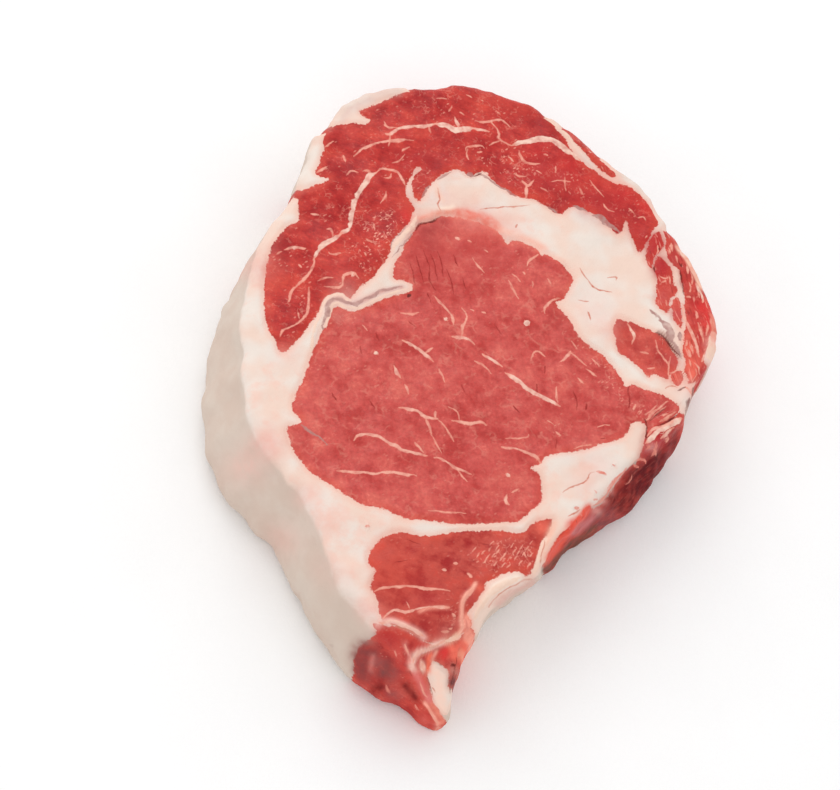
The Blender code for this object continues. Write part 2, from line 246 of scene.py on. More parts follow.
EYE_VEINS = [
    (0.45, [(-11.5, 26), (-8, 21.5), (-6.2, 18.8), (-6, 16.3)]),
    (0.7, [(-8.8, 18.4), (-8.2, 17.7)]), (0.4, [(-3, 23), (-1.9, 19.7), (-3.3, 16), (-3.8, 12.6)]),
    (0.55, [(-7.2, 12.6), (-2.5, 12.2), (0.3, 10.2)]), (0.6, [(2.3, 7.7), (4, 6.3), (8.2, 3.3)]),
    (0.35, [(-0.5, 5.1), (2, 4), (4.7, 0.9)]),
    (0.65, [(8.8, 1.5), (12.5, -1.2), (15.3, -4), (20, -6.3), (25.2, -8.9)]),
    (0.4, [(24.3, -2.3), (24, -5), (24.5, -7.7)]),
    (0.35, [(11.8, 33.2), (13.8, 28.5), (14.8, 26.8)]),
    (0.4, [(1, 40.2), (1.5, 38.5), (4.5, 34.8)]), (0.35, [(0.2, 46.3), (1.2, 45.7)]),
    (0.5, [(-3.7, 47.1), (-2.3, 46.4)]), (0.35, [(5, 43), (6, 42.4)]),
    (0.35, [(-0.6, 22.3), (0.6, 21.8)]), (0.35, [(3, 21.8), (4.2, 21.2)]),
    (0.4, [(17.9, 37.8), (18.5, 39.8), (22.1, 42.9)]),
    (0.45, [(22.7, 22.3), (22.6, 24.2), (25, 26.8), (27.8, 28.2)]),
    (1, [(16.3, 19.1), (17.1, 18.3)]), (0.3, [(13, 35.2), (15.6, 32.3)]),
    (0.3, [(19.4, 33.2), (19.2, 30.8)]), (0.3, [(24, 34.2), (25.1, 32.3)]),
    (0.3, [(16.5, 35.9), (17.1, 35.1)]), (0.35, [(16.9, 5.8), (18.3, 8.8), (20, 9.2), (21.7, 7.8)]),
    (0.5, [(25.8, 5.9), (27.5, 7), (29.7, 10.2)]), (0.3, [(29.7, 9.6), (34.2, 5.3)]),
    (0.4, [(33.8, 4.2), (37.2, 1.9)]), (0.3, [(-22.2, 20), (-19, 19.5), (-16.3, 20)]),
    (0.8, [(-30.6, 5.8), (-29.9, 5.1)]),
    (0.55, [(-22.2, 10.6), (-17.5, 8), (-14, 5), (-12.9, 3.6)]),
    (0.4, [(-12.8, 8.4), (-15.2, 6.6)]), (0.35, [(-11.4, 1.7), (-10.5, -1.5), (-10, -3.2)]),
    (0.55, [(-25.3, 1.7), (-24.8, 0.5), (-23.2, -2.5)]),
    (0.45, [(-22.1, -4.3), (-21.5, -5.5), (-21, -7.5)]),
    (0.5, [(-24.2, -11.9), (-19, -13), (-16, -15), (-12.3, -15)]),
    (0.45, [(-16.4, -15.2), (-15.4, -18), (-14.8, -21)]), (0.45, [(-13.5, -14.9), (-13.2, -12.7)]),
    (0.25, [(-12.7, -15), (-9, -20), (-7.9, -22.2)]), (0.25, [(-14.8, -20.6), (-11.9, -26.2)]),
    (0.45, [(-8.7, -15.4), (-3, -16), (0.5, -15.5), (2.2, -16.4)]),
    (0.25, [(-9.5, -10.8), (-7, -12.5), (-5.9, -15.2)]),
    (0.5, [
        (-38.2, -23.7), (-36.5, -22), (-31.5, -22), (-28, -24.3), (-25.5, -25), (-23.5, -26.5),
        (-16.3, -27.4),
    ]),
    (0.4, [(-20.2, -23.3), (-17.4, -26.7)]),
    (0.45, [(-14.7, -28), (-12.5, -28), (-8.5, -30.3), (-3.3, -32.6)]),
    (0.25, [(-7.4, -31.3), (-4.9, -35.2)]),
    (0.45, [(-43.7, -33.5), (-36, -33.8), (-32, -34.3), (-28, -33.5), (-19.8, -34.1)]),
    (0.45, [(5.8, -23.2), (11, -24), (16, -26), (17.8, -28.2)]),
    (0.3, [(7.3, -20.5), (14, -20), (14.6, -18.8)]), (0.6, [(6.9, -32.2), (7.8, -32.9)]),
    (0.5, [(6.6, -38.8), (6, -41), (7.1, -42.2)]), (0.35, [(7.9, -38.4), (10.2, -36.9)]),
    (0.25, [(-17.2, -45), (-5.8, -45.5)]), (0.3, [(35.8, -15.1), (40.2, -14.2)]),
    (0.3, [(27.8, -23), (31, -21.7), (34.2, -20.9)]), (0.3, [(20.6, -14), (22.4, -15.4)]),
    (0.3, [(23, -17.4), (24.4, -18.6)]), (0.25, [(31, 1), (33, -1)]),
    (0.25, [(36, 8), (38.6, 5.4)]), (0.25, [(30, 13.4), (31.8, 10.6)]),
    (0.25, [(-34, 15), (-32.4, 13)]),
]
LIP_VEINS = [
    (0.4, [(-34.2, -71), (-31, -69.8), (-24, -69), (-20, -69.2), (-12, -70)]),
    (0.5, [(-32.2, -79.7), (-30, -77.5), (-28, -76.5), (-25, -77), (-19.5, -75.5), (-12.3, -75)]),
    (0.4, [(-9.1, -76.2), (-8.5, -73), (-4.8, -69.3)]), (0.5, [(-14, -63.8), (-13, -63.6)]),
    (0.4, [(-10.5, -61.4), (-9.5, -61.2)]), (0.4, [(-6.8, -64.4), (-5.4, -65.6)]),
    (0.25, [(-25, -73.6), (-24.2, -76)]), (0.3, [(10.4, -57), (11, -59)]),
]
# Short parallel dashes in the lip: x, y where each begins.
HATCHING = [
    (7, -57.7), (8.3, -58), (9.8, -58.3), (9.3, -56.4), (11.2, -56.4), (0.8, -59.2), (2.2, -57.9),
    (2.2, -56.6), (5.5, -60.1), (7.5, -59.8), (-1.8, -61), (-0.9, -59.8), (-2.2, -58.4),
    (-3.7, -59.2), (3, -60.2), (3.3, -62.3), (11, -61.8), (5, -58.6), (0.8, -55.2), (4, -58.8),
    (6.6, -55.9), (-4.6, -57.4), (8.6, -61.4), (1, -62), (0, -57.2), (12, -58.6), (12.4, -54.8),
    (5, -62.6),
]
LIP_VEINS += [
    (0.2, [(x - 0.2, y - 0.2), (x + 0.5, y + 0.8), (x + 1.3, y + 1.7)]) for x, y in HATCHING
]
EDGE_VEINS = [
    (0.6, [(48.2, 20.6), (49, 18), (49.8, 16.2), (49, 13.6)]), (0.7, [(49.2, 17.6), (49.9, 16)]),
    (0.25, [(56.4, 15.6), (57, 12.4), (58.6, 9.6), (60, 7), (60, 3)]),
    (0.25, [(60.2, 5), (61.6, 4.9), (63.2, 6.4)]), (0.25, [(61, 10.2), (60.2, 8), (60.1, 5.4)]),
    (0.3, [(51.6, 11.2), (54.4, 11)]), (0.25, [(53.2, 5.6), (56, 6)]),
    (0.35, [(59.9, 48.6), (60.1, 46.6), (59.6, 45.2)]), (0.3, [(57.2, 51.6), (56.4, 50.8)]),
    (0.35, [(54.8, 58), (56.6, 58.2), (57.2, 57)]),
    (0.25, [(60, 37.6), (61.2, 36.6), (62.6, 37.4)]), (0.3, [(60.2, 35.4), (61.8, 36)]),
    (0.3, [(62.8, 38), (63, 34.6)]), (0.25, [(61.2, 29.6), (61.4, 27.4)]),
    (0.4, [(64.8, 49.8), (64.4, 47.6), (64.6, 46)]), (0.3, [(63.6, 47.4), (63.8, 45.2)]),
    (0.4, [(65.6, 45), (65.8, 42.4)]), (0.45, [(68.8, 43), (69, 40.6), (68.8, 38.4)]),
    (0.35, [(70, 39.6), (70.2, 36.8), (69.8, 35)]), (0.35, [(69, 36.4), (69.3, 34), (69, 32.2)]),
    (0.7, [(66.4, 48.8), (68.2, 46.4), (69.4, 43.8)]), (0.5, [(70.4, 42), (71.4, 39), (71.6, 37)]),
    (0.9, [(71.4, 36.6), (72.6, 34.2), (73.4, 31.2), (73.2, 29.6)]), (0.4, [(71.8, 33), (72, 31)]),
    (0.4, [(70.4, 26.6), (70.6, 24), (70, 23)]), (0.35, [(68, 31.2), (69.2, 31)]),
    (0.4, [(70.4, 22), (71, 19.4), (71.6, 16.6), (71.4, 14.8)]),
    (0.3, [(73.3, 23), (73.6, 21), (72.6, 17)]),
    (0.5, [(66.6, 28.8), (66.3, 25), (66.9, 21.6), (68, 18.6), (69, 15.4), (69.6, 12), (69.8, 10)]),
    (0.4, [(66.8, 12.6), (67.4, 10)]), (0.45, [(68.2, 8.6), (69.6, 6.6), (70.4, 4.4)]),
    (0.35, [(67.4, 1.2), (68.6, 3.4), (69.8, 4.8)]), (0.6, [(70.4, 8.8), (71.4, 9.8), (72, 12)]),
    (0.5, [(75.6, 24.6), (75.4, 21.6)]), (0.35, [(74.8, 30.6), (75.2, 27.8)]),
    (0.3, [(66.5, 16), (66.3, 13.4)]), (0.3, [(67.9, 14.4), (68.1, 11.6)]),
    (0.3, [(66.8, 9.6), (67.1, 7)]), (0.3, [(68.4, 6.4), (68.8, 4.2)]),
    (0.35, [(52.4, -12.2), (55, -9.8), (58, -7.2)]),
    (0.35, [(55.2, -12.6), (58.4, -10.4), (61, -8.6)]),
    (0.35, [(50.4, -10.8), (52.6, -9.6), (54.8, -7)]), (0.3, [(48.8, -10.8), (50.4, -9)]),
    (0.35, [(47, -9.4), (48.4, -7.2)]),
    (0.9, [(50.6, -19.8), (52.8, -17.6), (55.4, -15.2), (59, -13), (62.6, -10.4)]),
    (0.5, [(51.2, -17.2), (53.4, -14.8), (57, -13.5), (60, -11.4)]),
    (0.6, [(55.4, -18.4), (57.6, -15.8), (60, -14)]),
    (0.4, [(50.8, -12.4), (53.2, -10.4), (56, -7.8), (58.8, -5.2)]),
    (0.35, [(51.6, -11.2), (54.6, -8.6)]), (0.35, [(56, -10.6), (58.4, -9.6)]),
    (0.4, [(64.4, 0.2), (66.8, -2.4)]), (0.3, [(53, -21.4), (53.6, -24.4)]),
    (0.35, [(57.8, -17.4), (56.6, -19.6)]),
]
# Raised folds of the tail, drawn pale along their crests as a painted highlight.
TAIL_FOLDS_AND_HIGHLIGHTS = [
    (0.6, [(-33.4, -80.8), (-29, -80.3), (-25.6, -81.5), (-22.4, -83.1), (-20.6, -84.6)]),
    (0.5, [
        (-14.4, -85.6), (-17, -86.6), (-19.8, -88), (-22.4, -89.2), (-23.9, -90.8), (-24.4, -93),
    ]),
    (0.3, [(-26.2, -86.2), (-25.6, -88.4), (-25, -90)]), (0.5, [(-21.5, -92.4), (-21.3, -94.6)]),
    (0.3, [(-22.2, -97.8), (-21.2, -100.4), (-20.2, -103)]),
    (0.4, [(-20.6, -105.6), (-19.2, -107.6), (-18, -110), (-17.9, -111.6)]),
    (0.35, [
        (-5.6, -69.4), (-7.4, -71), (-8.5, -73), (-9, -75), (-9.4, -78), (-9.6, -80.6),
        (-11.2, -83.8),
    ]),
    (0.3, [(-13.4, -81.8), (-12.2, -81.4)]), (0.35, [(-15.6, -82.6), (-13.4, -82.4)]),
    (0.3, [(-11.8, -77), (-11.2, -78)]),
]
PINK_FOLDS = [
    (0.45, [(-35.8, -51), (-34.8, -51)]),
    (0.7, [(44, -28.4), (41.2, -31.2), (38.4, -34.6), (36.2, -38.4), (33, -41.4)]),
    (0.45, [(47, -26.2), (48.4, -25.4), (49.8, -25.6), (50.4, -27)]),
    (0.5, [(48, -28.4), (46.6, -27.4)]), (0.5, [(52, -24.8), (53.4, -21.6), (54.2, -19)]),
    (0.4, [(50.6, -22), (51.8, -20.4)]), (0.2, [(46.4, -31), (43.6, -34.4)]),
    (0.3, [(-32, -98.6), (-30.8, -101.6)]), (0.3, [(-29, -88.4), (-28.4, -91)]),
    (0.35, [(-24.4, -105), (-23.2, -107)]), (0.3, [(-8.2, -78), (-8, -83)]),
    (0.5, [(34.4, -29.8), (36, -30.2), (37.6, -30.8)]), (0.6, [(26.6, -42.6), (28, -42)]),
    (0.4, [(33.6, -35.8), (34, -37.2)]), (0.4, [(33, -39.2), (34.2, -39)]),
    (0.35, [(39.4, -27.6), (40.2, -28)]),
]
FAT_STROKES = [
    (0.8, [(-23.9, 40.6), (-22.4, 43), (-20.4, 45.6), (-18.4, 48), (-16.8, 50.4), (-15.4, 53.6)]),
    (0.6, [(12.6, -63.4), (13.9, -60.4), (15.3, -57), (16.6, -53.6), (18, -51.4)]),
    (0.8, [(-5.6, -79), (-3.6, -74.4), (-0.6, -70.4), (3.4, -67.6), (8.6, -65)]),
    (0.9, [(74.4, 17.6), (73.6, 13.6), (73, 10)]),
    (0.4, [(27.6, 93.4), (30.4, 90), (33.6, 86), (36, 82.4)]),
    (0.5, [
        (-44.9, 13), (-43.9, 18), (-42.9, 20.7), (-41.3, 21.7), (-40.2, 21.3), (-38.6, 20.6),
        (-36.4, 20.4), (-34.4, 20.9), (-31, 22.7), (-28, 24.5), (-25, 26), (-22.4, 27), (-19.6, 28),
    ]),
    (0.5, [
        (-50, 4.6), (-48.6, 12), (-46.7, 17.2), (-45.9, 20.4), (-44.6, 23), (-42.4, 24.4),
        (-40.2, 24.8), (-38.8, 24.2), (-37.9, 23.1), (-36.6, 23.2),
    ]),
]
# Silver skin, and gray painted shade along the left ribbon fold and the cap's border with the fat.
SILVER_AND_SHADE = [
    (0.6, [
        (-46, 12.6), (-44.7, 17.6), (-44.4, 20.8), (-43, 22.6), (-41, 23.2), (-39.6, 22.9),
        (-38.2, 22), (-36, 21.9), (-34, 22.7), (-32, 23.9), (-30, 25.1), (-28, 26.6), (-26, 27.4),
        (-23.6, 28.2), (-21, 28.6),
    ]),
    (0.45, [(-53.7, -19.4), (-51, -21.5), (-45.8, -25.1)]), (0.7, [(-8.4, 66.6), (-3.8, 69.8)]),
    (1, [(1.2, 69.4), (3.2, 69.4)]), (0.5, [(4.6, 70.8), (8, 68.5), (11, 66), (16.3, 62.9)]),
    (0.6, [(34.3, 61), (38.7, 59.4)]), (0.8, [(40, 57.9), (43, 57.4), (45, 55), (48.8, 52.3)]),
    (0.3, [(55.6, 26.1), (57.6, 24)]), (0.5, [(57, 24.7), (58.6, 22.9), (59.8, 21.4)]),
    (1.2, [(59, 22.2), (60.6, 20.2), (61.6, 17.6), (62, 15)]),
    (0.5, [(62, 15.6), (63.4, 12.6), (64.4, 9.4)]), (0.7, [(64.7, 18.6), (64.2, 15.2)]),
    (0.35, [(26, 60), (29.2, 58.3)]),
    (0.25, [(-24.7, 41.4), (-23.8, 43), (-22.2, 45.2), (-20.4, 47.2), (-18.6, 49.6)]),
    (0.22, [
        (-24, 38.5), (-22.8, 39.7), (-21.6, 41), (-20.6, 42.6), (-19.6, 44), (-18.4, 45.6),
        (-16.9, 47.5),
    ]),
    (0.5, [(-13.4, 60.4), (-10.6, 64.6)]),
]
THREADS = [
    (0.25, [(-8.5, 63.7), (-8, 60), (-8.6, 58), (-7.8, 55.8)]),
    (0.22, [(4.6, 57.4), (10, 58.3), (20.4, 59.8)]),
    (0.25, [(34.6, 39.2), (35.4, 37.6), (36.4, 35.6), (38.7, 33), (41.1, 31.8), (44.6, 31.4)]),
    (0.2, [(43.3, 36.4), (46.5, 37), (45.9, 35.3)]), (0.25, [(33.3, 27.7), (36.8, 27.5)]),
    (0.25, [(23.2, -37.6), (26, -35.8), (29.4, -34.2), (31.6, -32.6), (32.4, -30.6), (34, -29.8)]),
    (0.2, [(-22.6, -91.4), (-21, -89.8), (-18.6, -88.7)]), (0.15, [(-19, -99.4), (-18, -101.6)]),
    (0.2, [(-30, -81), (-25.6, -82.4), (-22, -84.4)]),
    (0.2, [(13, -64.7), (9.6, -65.7), (6, -67.6), (2.4, -70.2), (0, -72.6), (-1.2, -75.2)]),
    (0.2, [(24.2, -45.2), (26.4, -44), (28.6, -42.4)]),
    (0.2, [(17.4, -52.6), (16.2, -56), (15, -59.2), (14.4, -61.6)]),
    (0.3, [(15.3, 51.6), (16.2, 53.2)]), (0.25, [(57.8, -1.4), (60.2, 0), (62.2, -0.2)]),
    (0.25, [(36, 24), (36.6, 20.6)]),
]
# Creases that cut in; their dark colour is painted shade in the crease.
SHADED_CREASES = [
    (0.35, [
        (-16.2, 48.2), (-15.2, 50.1), (-14.2, 51.3), (-12.2, 52), (-10.4, 52.5), (-9, 53.6),
        (-7.6, 54.3),
    ]),
    (0.6, [(-19.4, 26.3), (-18.7, 25.8)]),
    (0.3, [(56.8, 18), (59, 17), (60.6, 15), (62, 12.6), (64, 10.4)]),
    (0.2, [(-22.2, -105), (-20.6, -107), (-19, -109.6), (-18.5, -111.4)]),
    (0.2, [(-25.4, -95.2), (-24.6, -96.6)]),
    (0.3, [(66.3, 40.4), (66.9, 37), (67, 33), (67.5, 31.4)]), (0.3, [(58.6, 41.6), (58.5, 38.8)]),
    (0.25, [(60.6, 48), (60.4, 46.2)]), (0.3, [(66, 43.6), (67, 41.4), (67.6, 42.4)]),
    (0.45, [(70.4, 2.4), (68.4, 0), (66.8, -3), (64.8, -6.4), (63.6, -8.8)]),
    (0.3, [(61.8, -2), (63.4, -0.6), (65, 0)]), (0.45, [(-12.9, -93.2), (-11.7, -92.9)]),
    (0.3, [(52, -12.6), (54.6, -10.4), (57.8, -7.6)]),
    (0.3, [(54, -14.4), (58, -11.8), (62, -9.4)]), (0.3, [(50.8, -11.6), (51.4, -14), (51, -16)]),
    (0.8, [(-48.3, -88.4), (-47.5, -88.9)]),
    (0.35, [(48.6, -26.8), (45.6, -30.2), (42.6, -33.4), (40, -36.8)]),
    (0.3, [(51.2, -15.6), (51, -18.4)]), (0.25, [(3.2, 69), (6, 70.6)]),
]
FIBRES = [
    (0.2, [(-16.6, 40), (-15.4, 35), (-14.6, 30)]),
    (0.22, [(-14.2, 42), (-12.6, 36), (-12.4, 31), (-10.8, 27.6)]),
    (0.2, [(-12, 41), (-10.6, 36.4), (-10.2, 31)]), (0.2, [(-9.6, 42), (-8.4, 38), (-8.2, 33)]),
    (0.18, [(-18.6, 37), (-17.6, 33), (-17.4, 29)]), (0.18, [(-7, 36), (-5.6, 31), (-5.4, 27)]),
    (0.2, [(-13.6, 27), (-12.6, 23)]), (0.18, [(-4.4, 41), (-3.4, 36.6)]),
    (0.18, [(-2.6, 33.4), (-1.4, 29)]), (0.25, [(47.2, -0.6), (46.2, -3), (46.4, -6), (46, -9)]),
    (0.25, [(29.4, -3.4), (30.2, -6.4), (30, -10)]), (0.22, [(33.4, -7), (33, -9.8)]),
    (0.22, [(21.4, 5), (21, 1.6)]), (0.2, [(-30, 12.4), (-29, 9.6)]), (0.2, [(-35, 8), (-34.4, 5)]),
    (0.25, [(22.8, -20), (22.2, -23.6)]), (0.22, [(36.4, -19), (38.6, -18.4)]),
    (0.22, [(-44, -8), (-42.6, -11)]), (0.22, [(18.4, -1.6), (18.2, -5)]),
    (0.2, [(7, 17), (8.4, 13.8)]), (0.2, [(-20, 17), (-17.8, 14.8)]),
    (0.22, [(-5, -3.4), (-4, -6.6)]), (0.2, [(-33, -10), (-31.4, -12.6)]),
    (0.22, [(10.6, -9.4), (12.4, -12)]), (0.22, [(-24, -54.6), (-20, -56)]),
    (0.2, [(-28, -62), (-24, -61.2)]), (0.2, [(-3, -54.4), (0.4, -55)]),
]

# Each family of strokes, its kind on a scale that the material reads, and its height in mm.
FAMILIES = [
    (CAP_VEINS, 0.1, 0.12), (EYE_VEINS, 0.1, 0.12), (LIP_VEINS, 0.1, 0.12), (EDGE_VEINS, 0.1, 0.2),
    (TAIL_FOLDS_AND_HIGHLIGHTS, 0.1, 0.8), (PINK_FOLDS, 0.2, 0.4), (FAT_STROKES, 0.3, 0.5), (SILVER_AND_SHADE, 0.5, 0.1),
    (FIBRES, 0.62, -0.12), (THREADS, 0.75, -0.1), (SHADED_CREASES, 0.9, -0.5),
]
# The scale's colours in display values, each from its own mark up to the next.
INKS = [
    (0.0, (236, 158, 138)),  # vein
    (0.17, (226, 134, 118)),  # pink fold
    (0.25, (240, 204, 184)),  # fat on fat
    (0.4, (178, 134, 127)),  # silver skin, and painted gray shade
    (0.56, (148, 36, 32)),  # fibre
    (0.68, (204, 116, 94)),  # thread
    (0.82, (112, 34, 28)),  # crease, drawn dark as painted shade
]
CUTS_FROM = 0.6  # kinds from here on cut in, and lie over the others
STROKE_REACH = 2.0  # mm either side of a stroke where its distance is stored
STROKE_LAYERS = 8
STROKE_STEP = 0.5  # mm between the points that a stroke is measured from
STROKE_TAPER = 3.0  # mm over which a stroke narrows to its end
STROKE_PAST = 1.2  # mm past its end where a stroke is still stored
NO_GAP, NO_WIDTH = 3.0, -2.0  # what a layer holds where it has no stroke

# Tints laid softly over lean and fat alike: display colour, then x, y, radius, strength.
TINTS = [
    ((236, 172, 160), [
        (-63, -26, 5, 0.7), (-70, -34, 6, 0.4), (-52, -42, 4, 0.5), (-45, -66, 5, 0.4),
        (-37, -77, 4, 0.7), (-60, -56, 6, 0.3), (-66, 34, 6, 0.4), (34, -27, 6, 0.3),
        (30, -34, 5, 0.3), (42, 17, 4, 0.3), (38, 24, 8, 0.25), (3, 55.5, 5, 0.6), (-7, 60, 4, 0.4),
        (-46, -50, 5, 0.3), (-38, 24.5, 5, 0.4), (66, -1, 5, 0.5), (14, 53, 5, 0.4),
        (-57, 3, 4, 0.3),
    ]),
    # Gray-beige on the fat at the rim and down the lower left side: painted shade.
    ((206, 186, 172), [
        (-20, 102, 2.6, 0.8), (-27, 99.4, 2.6, 0.8), (-34, 96.4, 2.6, 0.8), (-39, 91.4, 2.6, 0.8),
        (-43.6, 86, 2.6, 0.8), (-48, 79, 2.4, 0.7), (-50.4, 71, 2.4, 0.7), (-53.6, 62, 2.4, 0.7),
        (52, 74, 2, 0.5), (57, 70, 2, 0.5), (-44, -77, 4, 0.8), (-41, -83, 4, 0.8),
        (-48, -72, 4, 0.7), (-46, -84, 4, 0.6), (-39, -87.5, 3, 0.6), (-47, -66, 3, 0.5),
    ]),
    ((180, 30, 34), [
        (58.4, 48, 3.4, 0.9), (60.6, 51, 2.6, 0.7), (60.8, 41.6, 3, 0.8), (60, 38.6, 2.6, 0.7),
        (67.4, 36, 1.5, 0.9), (66.8, 39.4, 1.2, 0.6), (70, 29, 2, 0.7), (69.6, 24, 1.7, 0.7),
        (68.8, 21, 1.2, 0.6), (70.8, 17, 1.2, 0.7), (70.8, 13.6, 1.2, 0.7), (54, 54, 4, 0.5),
        (66.4, 44.6, 1.6, 0.6), (40, 63, 6, 0.6), (24, 72, 6, 0.4), (32, 71, 6, 0.4),
        (-16, 73, 5, 0.45), (48, 60, 4, 0.4), (-33, -84.6, 2.4, 0.6), (-29.6, -84.6, 2.6, 0.5),
        (54, -19, 4, 0.6), (57, -14, 3, 0.4), (71.6, 5.6, 1.9, 0.9), (72.8, 7.6, 1.2, 0.6),
        (70.6, 3.6, 1.4, 0.8),
    ]),
    ((226, 44, 42), [
        (73.6, 28, 2.8, 0.9), (74.6, 24, 2.2, 0.7), (73, 21, 2, 0.5), (34, 75, 4, 0.4),
        (50, 66, 4, 0.4), (57, 62, 3, 0.4), (24, 80, 3, 0.3), (43, 70, 3, 0.3), (-18.4, 54, 2, 0.6),
        (-19, 51.6, 1.6, 0.4), (-15, -89.8, 1.5, 1), (-14, -88.2, 1.2, 0.7),
        (25.4, -47.4, 1.6, 0.7),
    ]),
    ((246, 112, 90), [
        (67.4, 7.6, 2, 0.8), (67.6, 4, 1.8, 0.8), (62.2, 3, 1.8, 0.5), (67, 13, 1.8, 0.7),
        (66.8, 17, 1.6, 0.6), (75.4, 31.4, 1.4, 0.6), (17, -48.6, 2.2, 0.8), (67.6, -1.4, 1.4, 0.5),
        (-12, -90.4, 1.6, 1), (-11, -88, 1.6, 1), (-9, -86.2, 1.7, 1), (-12.6, -87.2, 1.3, 0.8),
        (-9.6, -90, 1.2, 0.7), (-3.2, -69, 1.4, 0.6),
    ]),
    ((192, 74, 74), [
        (64.4, 25, 3, 0.7), (60.6, 31, 3, 0.5), (61.8, 9, 2.4, 0.6), (65, 43.6, 2, 0.5),
        (-6, -72, 2, 0.4),
    ]),
    ((186, 60, 56), [
        (-11, 44, 8, 0.5), (0, 44, 8, 0.5), (8, 40, 7, 0.35), (-10, 34, 7, 0.4), (30, 70, 8, 0.3),
        (46, 60, 7, 0.3), (-6, 76, 8, 0.3), (24, -14, 7, 0.35), (6, -36, 7, 0.4),
        (-18, -72, 6, 0.5), (-20, 58, 6, 0.3), (34, -4, 7, 0.3),
    ]),
    # Darker lean just under the fat's overhanging edge at the eye's top: painted shade.
    ((168, 58, 56), [
        (-13, 48, 3, 0.6), (-10, 50.4, 3, 0.5), (-12, 44, 3, 0.4), (-7, 52.6, 2, 0.5),
    ]),
    ((212, 122, 110), [
        (-42, 18, 1.8, 0.5), (-41, 15.6, 1.6, 0.4), (-14, -83, 2.2, 0.6), (-17, -85.4, 1.8, 0.5),
        (-11, -80, 1.6, 0.4),
    ]),
    ((212, 76, 60), [
        (-26, -60, 8, 0.35), (-29, -68, 6, 0.35), (45, 72, 5, 0.3), (46.6, 17, 2.6, 0.6),
        (46.6, 12.6, 2, 0.5), (60, 4, 4, 0.3), (20, 98, 7, 0.3), (8, 101, 7, 0.3), (5, 50, 6, 0.3),
        (-60, 30, 5, 0.5),
    ]),
    ((186, 28, 40), [
        (54, -19.6, 3, 0.9), (51.6, -22.6, 2, 0.8), (57, -18, 2, 0.6), (50, -26, 2, 0.5),
        (46, -30, 2, 0.4),
    ]),
    # This and the next two: the lower right side's dark red, partly the lean's own deep colour and
    # partly painted shade.
    ((92, 0, 8), [
        (49.4, -30, 3.4, 1), (53, -26.6, 3.2, 1), (46.6, -33.6, 3.4, 1), (50, -35, 4, 1),
        (56, -30, 4, 0.9), (56, -23.4, 2.4, 0.9), (58.6, -20, 1.6, 0.7), (44, -36.4, 2.4, 0.8),
    ]),
    ((112, 22, 20), [
        (41.6, -38.6, 3, 0.9), (39.4, -40.4, 3, 0.9), (44, -41, 4, 0.9), (59.8, -19, 3, 0.7),
        (62, -17, 3, 0.7),
    ]),
    ((132, 60, 62), [
        (36.8, -43.6, 2.6, 0.9), (34, -46.4, 2.4, 0.9), (31, -48.6, 2, 0.8), (37, -50, 5, 0.9),
        (59, -23, 2.4, 0.6),
    ]),
    ((222, 160, 152), [
        (34, -43, 1.5, 0.8), (36.2, -39.8, 1.2, 0.7), (38.6, -36.4, 1.2, 0.6), (41, -33, 1.2, 0.6),
    ]),
    ((140, 62, 60), [
        (-37.6, -88.6, 3, 0.9), (-39, -92, 3, 0.9), (-37.4, -96, 3, 0.8), (-35, -91, 3, 0.7),
        (-39.4, -95.4, 2, 0.7),
    ]),
    ((128, 68, 66), [(-31.4, -93.4, 2.4, 0.8), (-30.4, -96.4, 2, 0.7), (-33.4, -95.4, 2, 0.6)]),
    ((158, 84, 82), [
        (-34, -92.6, 2, 0.6), (-31, -101, 1.8, 0.6), (-28.8, -96.4, 2, 0.5),
        (-28.8, -102.6, 2, 0.5),
    ]),
    ((196, 62, 56), [
        (-27.2, -92.4, 1.8, 0.7), (-29.4, -86.8, 2, 0.5), (-17.6, -82.8, 1.6, 0.6),
        (-22.6, -87, 1.8, 0.7),
    ]),
    ((216, 88, 80), [
        (-28.4, -89.4, 1.6, 0.6), (-21.4, -108.8, 2, 0.6), (-24, -96.8, 1.6, 0.6),
        (-22.4, -99, 1.4, 0.5),
    ]),
    ((124, 28, 26), [
        (-33.4, -99.4, 1.6, 0.9), (-35, -100.6, 1.4, 0.7), (-26.6, -99.6, 1.4, 0.9),
        (-25.2, -101.4, 1.4, 0.9), (-24, -103, 1.2, 0.9),
    ]),
    ((250, 210, 192), [
        (-17.8, -94.6, 1.8, 0.9), (-16.6, -97.4, 2.4, 0.9), (-17, -100.6, 2.2, 0.9),
        (-16.8, -103.6, 2, 0.9), (-16.4, -106, 1.6, 0.8),
    ]),
    # This and the next: painted shade where the tail's tip turns under on its right.
    ((192, 132, 120), [(-12, -94.6, 1.5, 0.9)]),
    ((122, 60, 58), [(-12.4, -97.4, 1.5, 0.9), (-13.2, -99, 1.2, 0.8)]),
    ((240, 188, 176), [
        (73.8, 15, 1.7, 0.8), (73.4, 12, 1.5, 0.7), (74.8, 17.4, 1.3, 0.6), (73.2, 9.8, 1.2, 0.5),
        (52, -21, 2, 0.4),
    ]),
]
